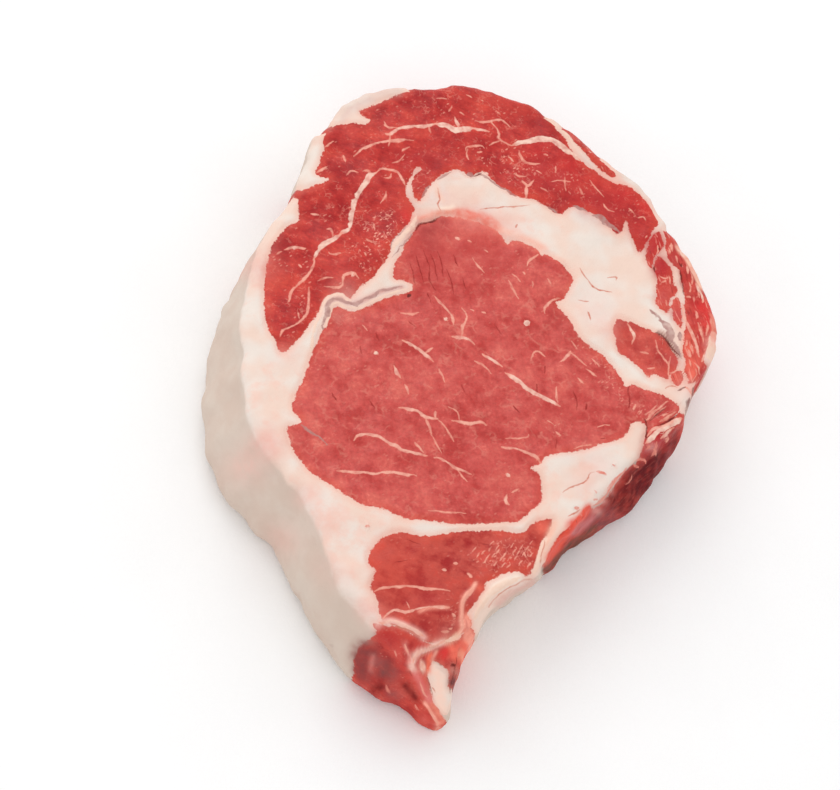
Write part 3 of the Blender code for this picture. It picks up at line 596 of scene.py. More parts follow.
# Tints drawn out along a path: display colour, radius, strength, points.
BANDS = [
    ((242, 188, 176), 1.1, 0.6, [
        (-34.2, -81.8), (-32.6, -80.4), (-29, -80.2), (-25.6, -81.6), (-22.4, -83.2), (-20.6, -85),
    ]),
    ((248, 204, 188), 0.9, 0.7, [
        (-14, -85.4), (-17, -86.6), (-19.6, -88), (-22, -89), (-23.8, -90.4), (-24.2, -92),
        (-24.6, -94), (-23.6, -95),
    ]),
    ((248, 202, 182), 0.8, 0.7, [(-21.6, -92.4), (-21.4, -93.6), (-21.3, -94.8)]),
    ((238, 150, 138), 0.6, 0.6, [(-26.3, -86), (-25.8, -88), (-25, -90.2), (-25.2, -92.8)]),
    ((226, 120, 114), 1.1, 0.6, [(-23.6, -95.6), (-22.4, -98), (-21.2, -101), (-19.8, -104)]),
    ((255, 172, 152), 0.6, 0.8, [
        (-21.4, -104.4), (-20, -106.4), (-18.6, -108.6), (-17.8, -110.6), (-17.9, -112),
    ]),
    ((240, 140, 118), 0.6, 0.6, [(-19.4, -104.8), (-17.9, -107), (-16.8, -109), (-16.2, -110.6)]),
    ((248, 116, 88), 0.7, 0.7, [(-18.8, -89.4), (-19.4, -91), (-19.6, -93), (-19.8, -95)]),
    ((244, 170, 150), 0.5, 0.6, [(-17, -88.4), (-18.2, -90.6), (-18.6, -92)]),
    ((200, 118, 110), 0.8, 0.6, [(-35.4, -90.8), (-36, -92.8), (-36.2, -95)]),
    ((252, 180, 158), 0.6, 0.7, [
        (-4.6, -67.6), (-5.6, -69.4), (-7.4, -71), (-8.5, -73), (-9, -75), (-9.2, -77), (-9.6, -79),
        (-9.5, -81), (-10.2, -82.8), (-11.8, -84.4),
    ]),
    ((240, 190, 164), 0.9, 0.6, [(-10.6, -83.4), (-12.2, -84.8), (-14.4, -85.8)]),
    ((252, 164, 142), 1.2, 0.9, [(-7.7, -78), (-7.8, -80.4), (-7.5, -83), (-7.6, -85)]),
    ((250, 160, 132), 0.7, 0.7, [(-10.2, -88.4), (-9.9, -90.8)]),
    ((238, 150, 130), 0.6, 0.6, [(-21.4, -76.9), (-19, -75.7), (-16, -75.4), (-12.8, -75.2)]),
    ((242, 188, 166), 1.1, 0.6, [(20.4, -47.4), (18.8, -51), (17.4, -55), (16, -59)]),
    ((232, 84, 64), 1.1, 0.9, [
        (31.6, -41.6), (29.6, -44), (27, -46.8), (24.8, -50), (22.6, -53), (20.4, -56), (18, -59),
    ]),
    ((196, 112, 112), 1, 0.7, [(33, -44.6), (31, -46.4), (28.6, -48.2), (26.2, -50.6)]),
    # Dark brown along the foot of the lower right side: painted shade.
    ((112, 62, 48), 0.9, 0.9, [
        (33, -48.2), (30, -50.4), (27, -52.8), (24.2, -55.8), (21, -58.6), (18, -61), (16, -62.2),
    ]),
    ((220, 176, 164), 1.3, 0.6, [(13, -65.6), (10, -67.2), (7, -69), (4, -71.2), (1.2, -73.6)]),
    # Near-white along the crest of the fat band under the lip: a painted highlight.
    ((252, 232, 214), 0.9, 0.5, [(8, -65), (4.6, -66.6), (1, -68.8), (-1.6, -71.4), (-3, -74)]),
    ((236, 140, 118), 0.7, 0.5, [(76, 26), (75.9, 22), (75.6, 18), (74.8, 14)]),
    ((246, 190, 165), 0.8, 0.6, [
        (66.6, 48.6), (68.6, 46), (69.8, 43), (71, 40.4), (72.4, 37.4), (74, 34.8),
    ]),
    # Dark brown along the crease beside the island: painted shade in the crease.
    ((118, 66, 58), 0.6, 0.6, [(57.6, 18), (59.8, 16.6), (61.2, 14.4), (62.8, 12), (64, 10.4)]),
    ((236, 150, 130), 1, 0.5, [
        (-14.6, 52.8), (-12, 53.8), (-9.6, 55), (-6, 55.8), (-2, 56), (7, 54.4), (10.6, 51),
    ]),
    ((230, 126, 110), 1.7, 0.8, [
        (-2.6, 55.4), (0, 55.6), (2.6, 55.2), (5.2, 54.6), (7, 53.4), (9, 51.6),
    ]),
    ((240, 182, 164), 1.2, 0.5, [(11, 50.8), (13.6, 49.4), (17, 48.6), (21, 47), (24, 44.6)]),
    ((250, 228, 208), 0.7, 0.4, [(-8.4, 56.9), (-6.6, 56.9), (-5, 57.2), (-3.6, 58)]),
    ((240, 190, 170), 1.1, 0.5, [(-8.8, 64), (-8.4, 61.4), (-7, 59.2)]),
    # Gray-mauve along the upper side of the left ribbon fold: painted shade.
    ((200, 136, 128), 0.9, 0.5, [
        (-44.5, 20.8), (-41, 23.2), (-38.2, 22), (-34, 22.7), (-30, 25.2), (-27, 27), (-21, 28.6),
    ]),
    # Gray along the upper left rim: painted shade.
    ((222, 192, 182), 1.6, 0.5, [(-19, 98.6), (-24, 97), (-29, 94.6), (-34, 91), (-37, 87.4)]),
]

# Where fine flecks of fat crowd: x, y, radius, strength.
FLECKED = [
    (5, -58, 6, 1), (12, -57, 4, 0.8), (-2, -62, 4, 0.6), (22, -16.5, 4, 0.9), (36, 8, 5, 0.8),
    (41, 1, 5, 0.8), (44, -5, 4, 0.7), (52, -8, 5, 0.7), (29, -13, 4, 0.5), (-28, 45, 7, 1),
    (-24, 52, 6, 0.8), (-33, 38, 6, 0.5), (20, 73, 8, 0.8), (34, 68, 7, 0.8), (8, 76, 7, 0.6),
    (12, 92, 7, 0.5), (-6, 94, 8, 0.5), (-14, 72, 6, 0.6), (-40, 58, 6, 0.5), (-54, 34, 6, 0.5),
    (-54, 20, 6, 0.5), (-36, 20.6, 4, 0.6), (-42, 17, 3, 0.8), (-50, 0, 5, 0.4), (-30, -6, 8, 0.35),
    (-8, -24, 7, 0.4), (8, -36, 6, 0.5), (4, 36, 7, 0.4), (50, 62, 6, 0.5), (16, 40, 6, 0.4),
    (-12, -79, 4, 0.6), (-8, -72, 4, 0.6), (-2, -47, 6, 0.3), (48, -12, 4, 0.5), (56, 8, 5, 0.3),
]

# More of the material's colours, in display values.
COLOURS = {
    "tail_lean": (198, 66, 56),
    "deep_cap": (158, 24, 26),
    "deep_eye": (180, 54, 50),
    "light_cap": (208, 70, 56),
    "light_eye": (218, 104, 92),
    "lean_rim": (212, 76, 54),
    "marbling": (240, 158, 138),
    "pale_fat": (232, 219, 209),
    "pink_fat": (240, 194, 178),
    "fat_rim": (238, 186, 168),
    # The sides' fat, darker and grayer than the face's: painted shade of the walls.
    "side_shade_dark": (208, 187, 173),
    "side_shade_pale": (213, 197, 184),
    "streak": (242, 158, 140),
    "gash": (124, 6, 14),
    "thick_vein": (242, 204, 186),
}

# The skin's grid: steps round the steak, and loops over each part of it.
AROUND = 560
TOP_STEPS = 98
EDGE_STEPS = 5
SIDE_STEPS = 24
FOOT_STEPS = 4
UNDER_STEPS = 46

# Unevenness, as layers of height in mm, wavelength in mm and seed.
RIM_WAVER = [(0.2, 9.0, 3), (0.07, 3.5, 4)]
FAT_WAVES = [(0.1, 10.0, 11), (0.04, 4.0, 12)]
LEAN_WAVES = [(0.09, 9.0, 13), (0.02, 3.0, 14)]
SLOW_WAVES = [(0.35, 26.0, 15)]
SIDE_WAVES = [(0.35, 22.0, 16)]
SIDE_DRIFT = [[(1.6, 2.3, 5)], [(1.6, 2.3, 6)]]  # of the plan down a hidden side, in x and y
UNDER_DRIFT = [[(1.5, 60.0, 7)], [(1.5, 60.0, 8)]]  # of the plan on the underside
WAVE_COUNT = 14
LAP = 37.0  # length given to one turn round the steak where a hidden side's plan drifts
FACING = (-0.15, 0.3)  # from a side that faces away from the eye point to one that faces it

FAT_RISE = 0.15
GROOVE_DEPTH, GROOVE_WIDTH = 0.3, 0.7  # mm, along the border of lean and fat

# The studio: metres, and each light's share of the main one.
FLOOR_HALF, FLOOR_HEIGHT = 3.0, -0.0002
LIGHT_SIZE = 0.9
LIGHTS = {"main_light": ((-0.3, 1.0, 1.0), 1.0), "fill_light": ((-0.9, -0.3, 0.8), 0.15)}
PAPER = (0.93, 0.95)  # darkest and lightest gray of the floor, in linear values
SENSOR = 36.0  # mm


# ---------------------------------------------------------------------------------------------
# Curves and distances


def linear(colour):
    """The shader's linear RGBA of a colour in display values of 0 to 1.

    Up to 0.04045 a value is divided by 12.92, and above that it has 0.055 added, is divided by
    1.055 and raised to the power 2.4.
    """
    parts = [v / 12.92 if v <= 0.04045 else ((v + 0.055) / 1.055) ** 2.4 for v in colour]
    return (*parts, 1.0)


def rgb(red, green, blue):
    """The same from display values of 0 to 255."""
    return linear((red / 255, green / 255, blue / 255))


def smooth_curve(points, step, closed, parts=20):
    """A Catmull-Rom curve through the points, read every step mm of its length.

    Between points b and c, with neighbours a and d, it is the cubic that leaves b along c - a
    and reaches c along d - b. The first two columns are x and y, and others go along with them.
    """
    knots = np.array(points, float)
    if closed:
        knots = np.vstack([knots[-1:], knots, knots[:2]])
    else:
        knots = np.vstack([2 * knots[0] - knots[1], knots, 2 * knots[-1] - knots[-2]])
    t = np.linspace(0, 1, parts, endpoint=False)[:, None]
    a, b, c, d = (knots[k : len(knots) - 3 + k, None, :] for k in range(4))
    spans = b + 0.5 * t * (c - a + t * (2 * a - 5 * b + 4 * c - d + t * (3 * (b - c) + d - a)))
    fine = np.vstack([spans.reshape(-1, knots.shape[1]), knots[-2]])
    lengths = np.linalg.norm(np.diff(fine[:, :2], axis=0), axis=1)
    run = np.concatenate([[0.0], np.cumsum(lengths)])
    count = max(3, round(run[-1] / step) + 1)
    at = np.linspace(0, run[-1], count)
    return np.stack([np.interp(at, run, fine[:, k]) for k in range(fine.shape[1])], axis=1)


def to_segments(points, path, chunk=4000):
    """For each point, the nearest of the path's segments, the square of its distance, the part
    of the segment at which it is nearest, unclipped, and on which side of it the point is.

    The part is the dot product of the offset and the segment over the segment's square, and the
    side is the sign of their cross product. Points are taken a chunk at a time, to save memory.
    """
    start, along = path[:-1], np.diff(path, axis=0)
    length = (along**2).sum(axis=1)
    best = np.empty(len(points), int)
    square, share, side = np.empty((3, len(points)))
    for first in range(0, len(points), chunk):
        part = slice(first, first + chunk)
        offset = points[part, None, :] - start
        free = (offset * along).sum(axis=2) / length
        at = np.clip(free, 0, 1)
        gap = ((offset - at[..., None] * along) ** 2).sum(axis=2)
        k = gap.argmin(axis=1)
        row = np.arange(len(k))
        best[part], square[part], share[part] = k, gap[row, k], free[row, k]
        side[part] = along[k, 0] * offset[row, k, 1] - along[k, 1] * offset[row, k, 0]
    return best, square, share, side


def inside(points, path):
    """Whether each point is inside a closed path: a ray from it to +X crosses the path an odd
    number of times."""
    odd = np.zeros(len(points), bool)
    x, y = points.T
    for (x0, y0), (x1, y1) in zip(path[:-1], path[1:]):
        spans = (y0 > y) != (y1 > y)
        if spans.any():
            odd[spans] ^= x[spans] < (x1 - x0) * (y[spans] - y0) / (y1 - y0) + x0
    return odd


def depth_inside(plan, outline, reach=8.0):
    """Signed distance in mm to a closed outline, positive inside, cut off at the reach."""
    path = smooth_curve(outline, 1.0, closed=True)[:, :2]
    low, high = path.min(axis=0) - reach, path.max(axis=0) + reach
    near = ((plan > low) & (plan < high)).all(axis=1)
    depth = np.full(len(plan), -reach)
    points = plan[near]
    square = to_segments(points, path)[1]
    sign = np.where(inside(points, path), 1.0, -1.0)
    depth[near] = np.clip(sign * np.sqrt(square), -reach, reach)
    return depth


def waves(place, length, seed):
    """Smooth random field of about unit size: a sum of plane waves with random directions and
    phases, and wavelengths around the one asked for."""
    random = np.random.default_rng(seed)
    field = np.zeros(place.shape[:-1])
    bounds = (0, 0, 0.6), (math.tau, math.tau, 1.7)
    for turn, phase, stretch in random.uniform(*bounds, (WAVE_COUNT, 3)):
        along = place[..., 0] * math.cos(turn) + place[..., 1] * math.sin(turn)
        field += np.sin(along * math.tau / (length * stretch) + phase)
    return field / math.sqrt(WAVE_COUNT / 2)


def uneven(place, layers):
    """The layers' waves, each times its height, added up."""
    return sum(height * waves(place, length, seed) for height, length, seed in layers)


def ease(value, low, high):
    """0 below low and 1 above high, with a smooth cubic between."""
    share = np.clip((value - low) / (high - low), 0, 1)
    return share * share * (3 - 2 * share)


# ---------------------------------------------------------------------------------------------
# The skin


def read_at(rows, index):
    """Rows of a table at fractional indices, each a straight mix of the two rows around it."""
    whole = np.arange(len(rows))
    return np.stack([np.interp(index, whole, column) for column in rows.T], axis=1)


def rim_and_spine():
    """Rim, outward directions, stand-out and spine point for each step round the steak.

    The first half runs from the broad end to the tail's tip and the second half back, each at
    even steps, so that mirrored steps share a point of the spine. Outward is the line between
    the second neighbours on either side, turned a quarter.
    """
    fine = smooth_curve(RIM, 0.1, closed=True)
    tip = int(np.argmin(fine[:, 1]))
    steps = np.linspace(0, 1, AROUND // 2, endpoint=False)
    rim = read_at(fine, np.concatenate([steps * tip, tip + steps * (len(fine) - 1 - tip)]))
    along = np.roll(rim[:, :2], -2, axis=0) - np.roll(rim[:, :2], 2, axis=0)
    outward = np.stack([along[:, 1], -along[:, 0]], axis=1)
    outward /= np.linalg.norm(outward, axis=1)[:, None]
    share = 1 - np.abs(1 - 2 * np.arange(AROUND) / AROUND)
    spine = smooth_curve(SPINE, 0.5, closed=False)
    return rim[:, :2], outward, rim[:, 2], read_at(spine, share * (len(spine) - 1))


def face_height(place, thickness):
    """Height of the upper face: the thickness, bell-shaped swells, and a droop that grows as a
    power of the way along the tail."""
    height = np.full(place.shape[:-1], thickness)
    for x, y, radius, rise in SWELLS:
        height += rise * np.exp(-((place - (x, y)) ** 2).sum(axis=-1) / (2 * radius**2))
    past = np.maximum((place - TAIL_START) @ np.array(TAIL_DIRECTION), 0.0)
    return height - TAIL_DROP * past**TAIL_POWER


def seen_on_plan(place):
    """Where the line from the eye point through each place meets the plan's plane: the place's
    offset from the eye point, drawn out until its height is the plane's."""
    reach = (EYE_POINT[2] - PLANE) / (EYE_POINT[2] - place[..., 2:3])
    return EYE_POINT[:2] + (place[..., :2] - EYE_POINT[:2]) * reach


def skin_grid(thickness):
    """Places of the skin before relief, their spot on the plan, and how far each is a side.

    From the spine, loops spread evenly to the rim, turn a quarter circle over it, run down the
    side along an easing curve with a slight belly, turn an ellipse under the foot, and close on
    the spine. On a side that faces the eye point, the plan is as seen from there. On the others
    it is the rim's own plan, pulled down the side with a slow drift.
    """
    rim, outward, stand_out, spine = rim_and_spine()
    lap = np.arange(AROUND)[:, None] / AROUND * np.array([LAP, 0.0])
    rim = rim + outward * uneven(rim, RIM_WAVER)[:, None]
    brow = face_height(rim, thickness)
    sharp = np.clip(np.linalg.norm(rim - TIP, axis=1) / TIP_REACH, 0.2, 1.0)
    radius = np.minimum(EDGE_RADIUS, 0.3 * brow) * sharp
    foot_height = np.minimum(FOOT_HEIGHT, 0.4 * brow)
    foot = rim + outward * stand_out[:, None]
    tucked = foot - outward * (FOOT_TUCK * sharp)[:, None]
    inner = rim - outward * radius[:, None]
    toward = EYE_POINT[:2] / np.linalg.norm(EYE_POINT[:2])
    facing = ease(outward @ toward, *FACING)[:, None]
    places, plans, sides = [], [], []

    def add(xy, z, plan, side):
        places.append(np.column_stack([xy, z]))
        plans.append(plan)
        sides.append(np.full(AROUND, side))

    for share in np.linspace(0, 1, TOP_STEPS + 1):
        xy = spine + (inner - spine) * share
        z = face_height(xy, thickness)
        add(xy, z, seen_on_plan(np.column_stack([xy, z])), 0.0)

    def on_side(xy, z, down):
        drift = down * np.column_stack([uneven(lap + down, layers) for layers in SIDE_DRIFT])
        pulled = seen_on_plan(np.column_stack([rim - outward * (1.2 + down), brow])) + drift
        return seen_on_plan(np.column_stack([xy, z])) * facing + pulled * (1 - facing)

    for turn in np.linspace(0, np.pi / 2, EDGE_STEPS + 1)[1:]:
        xy = inner + outward * (radius * np.sin(turn))[:, None]
        z = brow - radius * (1 - np.cos(turn))
        add(xy, z, on_side(xy, z, 0.0), 0.3 * turn)
    top_of_side = brow - radius
    for share in np.linspace(0, 1, SIDE_STEPS + 1)[1:]:
        belly = outward * SIDE_BELLY * np.sin(np.pi * share)
        xy = rim + (foot - rim) * ease(share, 0.0, 1.0) + belly
        z = top_of_side + (foot_height - top_of_side) * share
        add(xy, z, on_side(xy, z, share), 0.5 + 0.5 * min(1.0, 4 * share))
    last = plans[-1]
    for turn in np.linspace(0, np.pi / 2, FOOT_STEPS + 1)[1:]:
        xy = tucked + (foot - tucked) * np.cos(turn)
        add(xy, foot_height * (1 - np.sin(turn)), last, 1.0)
    drift = np.column_stack([uneven(rim, layers) for layers in UNDER_DRIFT])
    for share in np.linspace(1, 0, UNDER_STEPS + 1)[1:]:
        xy = spine + (tucked - spine) * share
        flat = spine + (inner - spine) * share
        plan = seen_on_plan(np.column_stack([flat, face_height(flat, thickness)])) + drift * share
        fresh = ease(1 - share, 0.0, 0.08)
        add(xy, np.zeros(AROUND), last * (1 - fresh) + plan * fresh, 1.0 - fresh)
    return np.array(places), np.array(plans), np.array(sides)


def grid_normals(places):
    """Unit normals: the cross product of the steps outward and round, each from the loop or
    step before to the one after."""
    outward = np.gradient(places, axis=0)
    around = np.roll(places, -1, axis=1) - np.roll(places, 1, axis=1)
    normal = np.cross(outward, around)
    normal[0] = normal[1]
    normal[-1] = normal[-2]
    return normal / (np.linalg.norm(normal, axis=2)[..., None] + 1e-9)


def draw_strokes(plan):
    """Distances to the strokes, in layers that no two nearby strokes share.

    A layer holds, for each place, the signed distance to its stroke, the stroke's half width
    there, which tapers to both ends, and its kind. Where no stroke is near, the half width is
    negative. Lines that cut in look for a free layer from the last one, so that they lie over
    the others. The second result is the height that the strokes add: a bell curve across each.
    """
    layers = np.zeros((STROKE_LAYERS, len(plan), 3))
    layers[:, :, 0], layers[:, :, 1] = NO_GAP, NO_WIDTH
    height = np.zeros(len(plan))
    strokes = [(*stroke, kind, rise) for family, kind, rise in FAMILIES for stroke in family]
    for half, points, kind, rise in strokes:
        path = smooth_curve(points, STROKE_STEP, closed=False)
        reach = STROKE_REACH + half
        low, high = path.min(axis=0) - reach, path.max(axis=0) + reach
        where = np.flatnonzero(((plan > low) & (plan < high)).all(axis=1))
        if len(where) == 0:
            continue
        best, square, share, side = to_segments(plan[where], path)
        count = len(path) - 1
        length = count * STROKE_STEP
        before = np.where((best == 0) & (share < 0), -share, 0)
        after = np.where((best == count - 1) & (share > 1), share - 1, 0)
        past = (before + after) * STROKE_STEP
        within = (square < reach**2) & (past < STROKE_PAST)
        where, past, side = where[within], past[within], side[within]
        along = (best + np.clip(share, 0, 1))[within] * STROKE_STEP
        gap = np.sqrt(square[within])
        to_end = np.minimum(along, length - along)
        taper = ease(to_end + 0.3, 0.0, min(STROKE_TAPER, 0.45 * length))
        height[where] += rise * taper * np.exp(-((gap / (half + 0.45)) ** 2)) * (past == 0)
        for layer in layers if kind < CUTS_FROM else layers[::-1]:
            if (layer[where, 1] == NO_WIDTH).all():
                break
        layer[where, 0] = np.where(side < 0, -gap, gap)
        layer[where, 1] = half * (0.3 + 0.7 * taper) - past * 1.5
        layer[where, 2] = kind
    return layers, height


def bells(plan, spots):
    """The sum of a bell curve for each spot's centre, radius and strength, between 0 and 1."""
    total = np.zeros(len(plan))
    for x, y, radius, strength in spots:
        near = np.abs(plan - (x, y)).max(axis=1) < 2.5 * radius
        square = ((plan[near] - (x, y)) ** 2).sum(axis=1)
        total[near] += strength * np.exp(-square / radius**2)
    return np.clip(total, 0, 1)


def tinted_plan(plan):
    """Colour and weight of the tints: each is laid over the ones before it, as thick as the
    bell curves of its spots."""
    colour = np.zeros((len(plan), 3))
    weight = np.zeros(len(plan))
    bands = [
        (tint, [(x, y, radius, strength) for x, y in smooth_curve(path, radius, closed=False)])
        for tint, radius, strength, path in BANDS
    ]
    for tint, spots in TINTS + bands:
        cover = bells(plan, spots)
        colour = colour * (1 - cover)[:, None] + cover[:, None] * np.array(rgb(*tint)[:3])
        weight = weight * (1 - cover) + cover
    return colour / np.maximum(weight, 1e-4)[:, None], weight


def steak_skin(thickness, relief):
    """The whole skin: places, faces and the attributes that its material reads.

    Relief is added along the normals: fat stands a little over lean, each with waves of its own,
    the border itself is a groove with a bell-shaped section, strokes stand up or cut in, and slow
    waves run over all of it. On the underside it only sinks in, so that the steak lies flat.
    """
    places, plans, sides = skin_grid(thickness)
    rings = len(places)
    plan = plans.reshape(-1, 2)
    muscle = np.stack([depth_inside(plan, outline) for outline in (EYE, CAP, LIP)], axis=1)
    edge = np.max([depth_inside(plan, outline) for outline in EDGE_PIECES], axis=0)
    other = np.stack([depth_inside(plan, ISLAND), edge, depth_inside(plan, TAIL)], axis=1)
    lean = np.maximum(muscle.max(axis=1), other.max(axis=1))
    layers, stroke_height = draw_strokes(plan)

    fat = ease(-lean, 0.2, 1.6)
    height = stroke_height - GROOVE_DEPTH * np.exp(-((lean / GROOVE_WIDTH) ** 2))
    height += fat * (FAT_RISE + uneven(plan, FAT_WAVES))
    height += (1 - fat) * uneven(plan, LEAN_WAVES)
    height += uneven(plan, SLOW_WAVES)
    height = height.reshape(rings, AROUND)
    height = (height + sides * uneven(plans, SIDE_WAVES)) * relief
    under_from = TOP_STEPS + EDGE_STEPS + SIDE_STEPS + FOOT_STEPS
    under = ease(np.arange(rings), under_from - FOOT_STEPS - 2.0, under_from + 2.0)[:, None]
    height = height * (1 - under) - np.abs(height) * 0.5 * under
    height[under_from:] *= ease(np.arange(rings - under_from), 0, 6)[:, None]
    places = places + grid_normals(places) * height[..., None]
    places[:, :, 2] = np.maximum(places[:, :, 2], 0.0)

    step = np.arange(AROUND)
    mirrored = np.minimum(step, AROUND - step)
    ids = np.arange(rings * AROUND).reshape(rings, AROUND)
    ids[0], ids[-1] = ids[0, mirrored], ids[-1, mirrored]
    after = np.roll(ids, -1, axis=1)
    faces = np.stack([ids[:-1], ids[1:], after[1:], after[:-1]], axis=2).reshape(-1, 4)
    used, faces = np.unique(faces, return_inverse=True)
    spots = places.reshape(-1, 3)[used]
    spots[:, :2] -= MIDDLE
    attributes = {"muscle": muscle, "other": other}
    attributes |= {f"stroke_{k}": layer for k, layer in enumerate(layers)}
    attributes["tint"], weight = tinted_plan(plan)
    attributes["cover"] = np.column_stack([sides.ravel(), weight, bells(plan, FLECKED)])
    attributes = {name: data[used] for name, data in attributes.items()}
    return spots * MM, faces.reshape(-1, 4), attributes


def mesh_piece(name, places, faces, attributes, material):
    """A smooth-shaded mesh object with one vector attribute for each name."""
    mesh = bpy.data.meshes.new(name)
    mesh.from_pydata(places.tolist(), [], faces.tolist())
    for label, data in attributes.items():
        layer = mesh.attributes.new(label, "FLOAT_VECTOR", "POINT")
        layer.data.foreach_set("vector", np.ascontiguousarray(data, np.float32).ravel())
    mesh.shade_smooth()
    mesh.materials.append(material)
    piece = bpy.data.objects.new(name, mesh)
    bpy.context.scene.collection.objects.link(piece)
    return piece


# ---------------------------------------------------------------------------------------------
# Shader maths


class Value:
    """A shader socket that can be used in Python expressions, each adding a Math node."""

    def __init__(self, tree, socket):
        self.tree = tree
        self.socket = socket

    def _math(self, operation, *others, clamp=False):
        node = self.tree.add("ShaderNodeMath", operation=operation, use_clamp=clamp)
        for socket, value in zip(node.inputs, others):
            self.tree.feed(socket, value)
        return Value(self.tree, node.outputs[0])

    def __add__(self, other):
        return self._math("ADD", self, other)

    __radd__ = __add__

    def __mul__(self, other):
        return self._math("MULTIPLY", self, other)

    __rmul__ = __mul__

    def __sub__(self, other):
        return self._math("SUBTRACT", self, other)

    def __rsub__(self, other):
        return self._math("SUBTRACT", other, self)

    def __abs__(self):
        return self._math("ABSOLUTE", self)

    def most(self, other):
        return self._math("MAXIMUM", self, other)

    def clamp(self):
        return self._math("ADD", self, 0.0, clamp=True)

    def step(self, low, high):
        """Goes smoothly from 0 at low to 1 at high, whichever is greater, and stays there."""
        node = self.tree.add("ShaderNodeMapRange", interpolation_type="SMOOTHSTEP")
        ends = (low, high, 0.0, 1.0) if low <= high else (high, low, 1.0, 0.0)
        for socket, value in zip(node.inputs, (self, *ends)):
            self.tree.feed(socket, value)
        return Value(self.tree, node.outputs[0])


class Shading:
    """A material's node tree, with one method that adds any node and a few that read the skin."""

    def __init__(self, name):
        self.material = bpy.data.materials.new(name)
        self.material.use_nodes = True
        self.nodes = self.material.node_tree.nodes
        self.links = self.material.node_tree.links
        self.principled = self.nodes["Principled BSDF"]
        self.place = self.scaled(self.add("ShaderNodeTexCoord").outputs["Object"], 1 / MM)

    def feed(self, socket, value):
        if isinstance(value, Value):
            value = value.socket
        if isinstance(value, bpy.types.NodeSocket):
            self.links.new(value, socket)
        else:
            socket.default_value = value

    def add(self, kind, **settings):
        """A node of the kind: settings first, then a dict of socket values as inputs=."""
        inputs = settings.pop("inputs", {})
        node = self.nodes.new(kind)
        for name, value in settings.items():
            setattr(node, name, value)
        for name, value in inputs.items():
            self.feed(node.inputs[name], value)
        return node

    def noise(self, size, detail=2.0, place=None, roughness=0.5):
        """Noise about -1 to 1 whose grain is size mm."""
        node = self.add(
            "ShaderNodeTexNoise",
            inputs={
                "Vector": place or self.place, "Scale": 1 / size, "Detail": detail,
                "Roughness": roughness,
            },
        )
        return Value(self, node.outputs["Fac"]) * 4.0 - 2.0

    def cells(self, size, place, feature="F1"):
        """Distance, in cells about size mm across, to their middles or to their walls."""
        node = self.add(
            "ShaderNodeTexVoronoi", feature=feature, inputs={"Vector": place, "Scale": 1 / size},
        )
        return Value(self, node.outputs["Distance"])

    def stretched(self, turn, along, across):
        """The place turned about the vertical and squeezed along its grain."""
        node = self.add(
            "ShaderNodeMapping", vector_type="TEXTURE",
            inputs={
                "Vector": self.place, "Rotation": (0.0, 0.0, math.radians(turn)),
                "Scale": (along, across, across),
            },
        )
        return node.outputs[0]

    def attribute(self, name):
        """The three numbers of a stored vector."""
        read = self.add("ShaderNodeAttribute", attribute_name=name)
        split = self.add("ShaderNodeSeparateXYZ")
        self.feed(split.inputs[0], read.outputs["Vector"])
        return [Value(self, socket) for socket in split.outputs]

    def mix(self, share, first, second):
        """Colour: first where share is 0, second where it is 1."""
        node = self.add("ShaderNodeMix", data_type="RGBA", clamp_factor=True)
        for index, value in ((0, share), (6, first), (7, second)):
            self.feed(node.inputs[index], value)
        return node.outputs[2]

    def scaled(self, vector, amount):
        """A vector or a colour multiplied by a number."""
        inputs = {0: vector, "Scale": amount}
        return self.add("ShaderNodeVectorMath", operation="SCALE", inputs=inputs).outputs[0]

    def ramp(self, value, stops):
        """The colour of the last stop that the value has reached."""
        node = self.add("ShaderNodeValToRGB", inputs={0: value})
        node.color_ramp.interpolation = "CONSTANT"
        elements = node.color_ramp.elements
        while len(elements) < len(stops):
            elements.new(0.5)
        for element, (position, colour) in zip(elements, stops):
            element.position, element.color = position, rgb(*colour)
        return node.outputs[0]

    def bump(self, height, depth):
        """Normal of a surface whose height is given in mm, scaled by depth."""
        inputs = {"Height": height, "Distance": MM, "Strength": depth}
        return self.add("ShaderNodeBump", inputs=inputs).outputs[0]

    def surface(self, **inputs):
        """Feeds the shader's own sockets, with _ for the spaces in their names."""
        for name, value in inputs.items():
            self.feed(self.principled.inputs[name.replace("_", " ")], value)


# ---------------------------------------------------------------------------------------------
# Raw beef


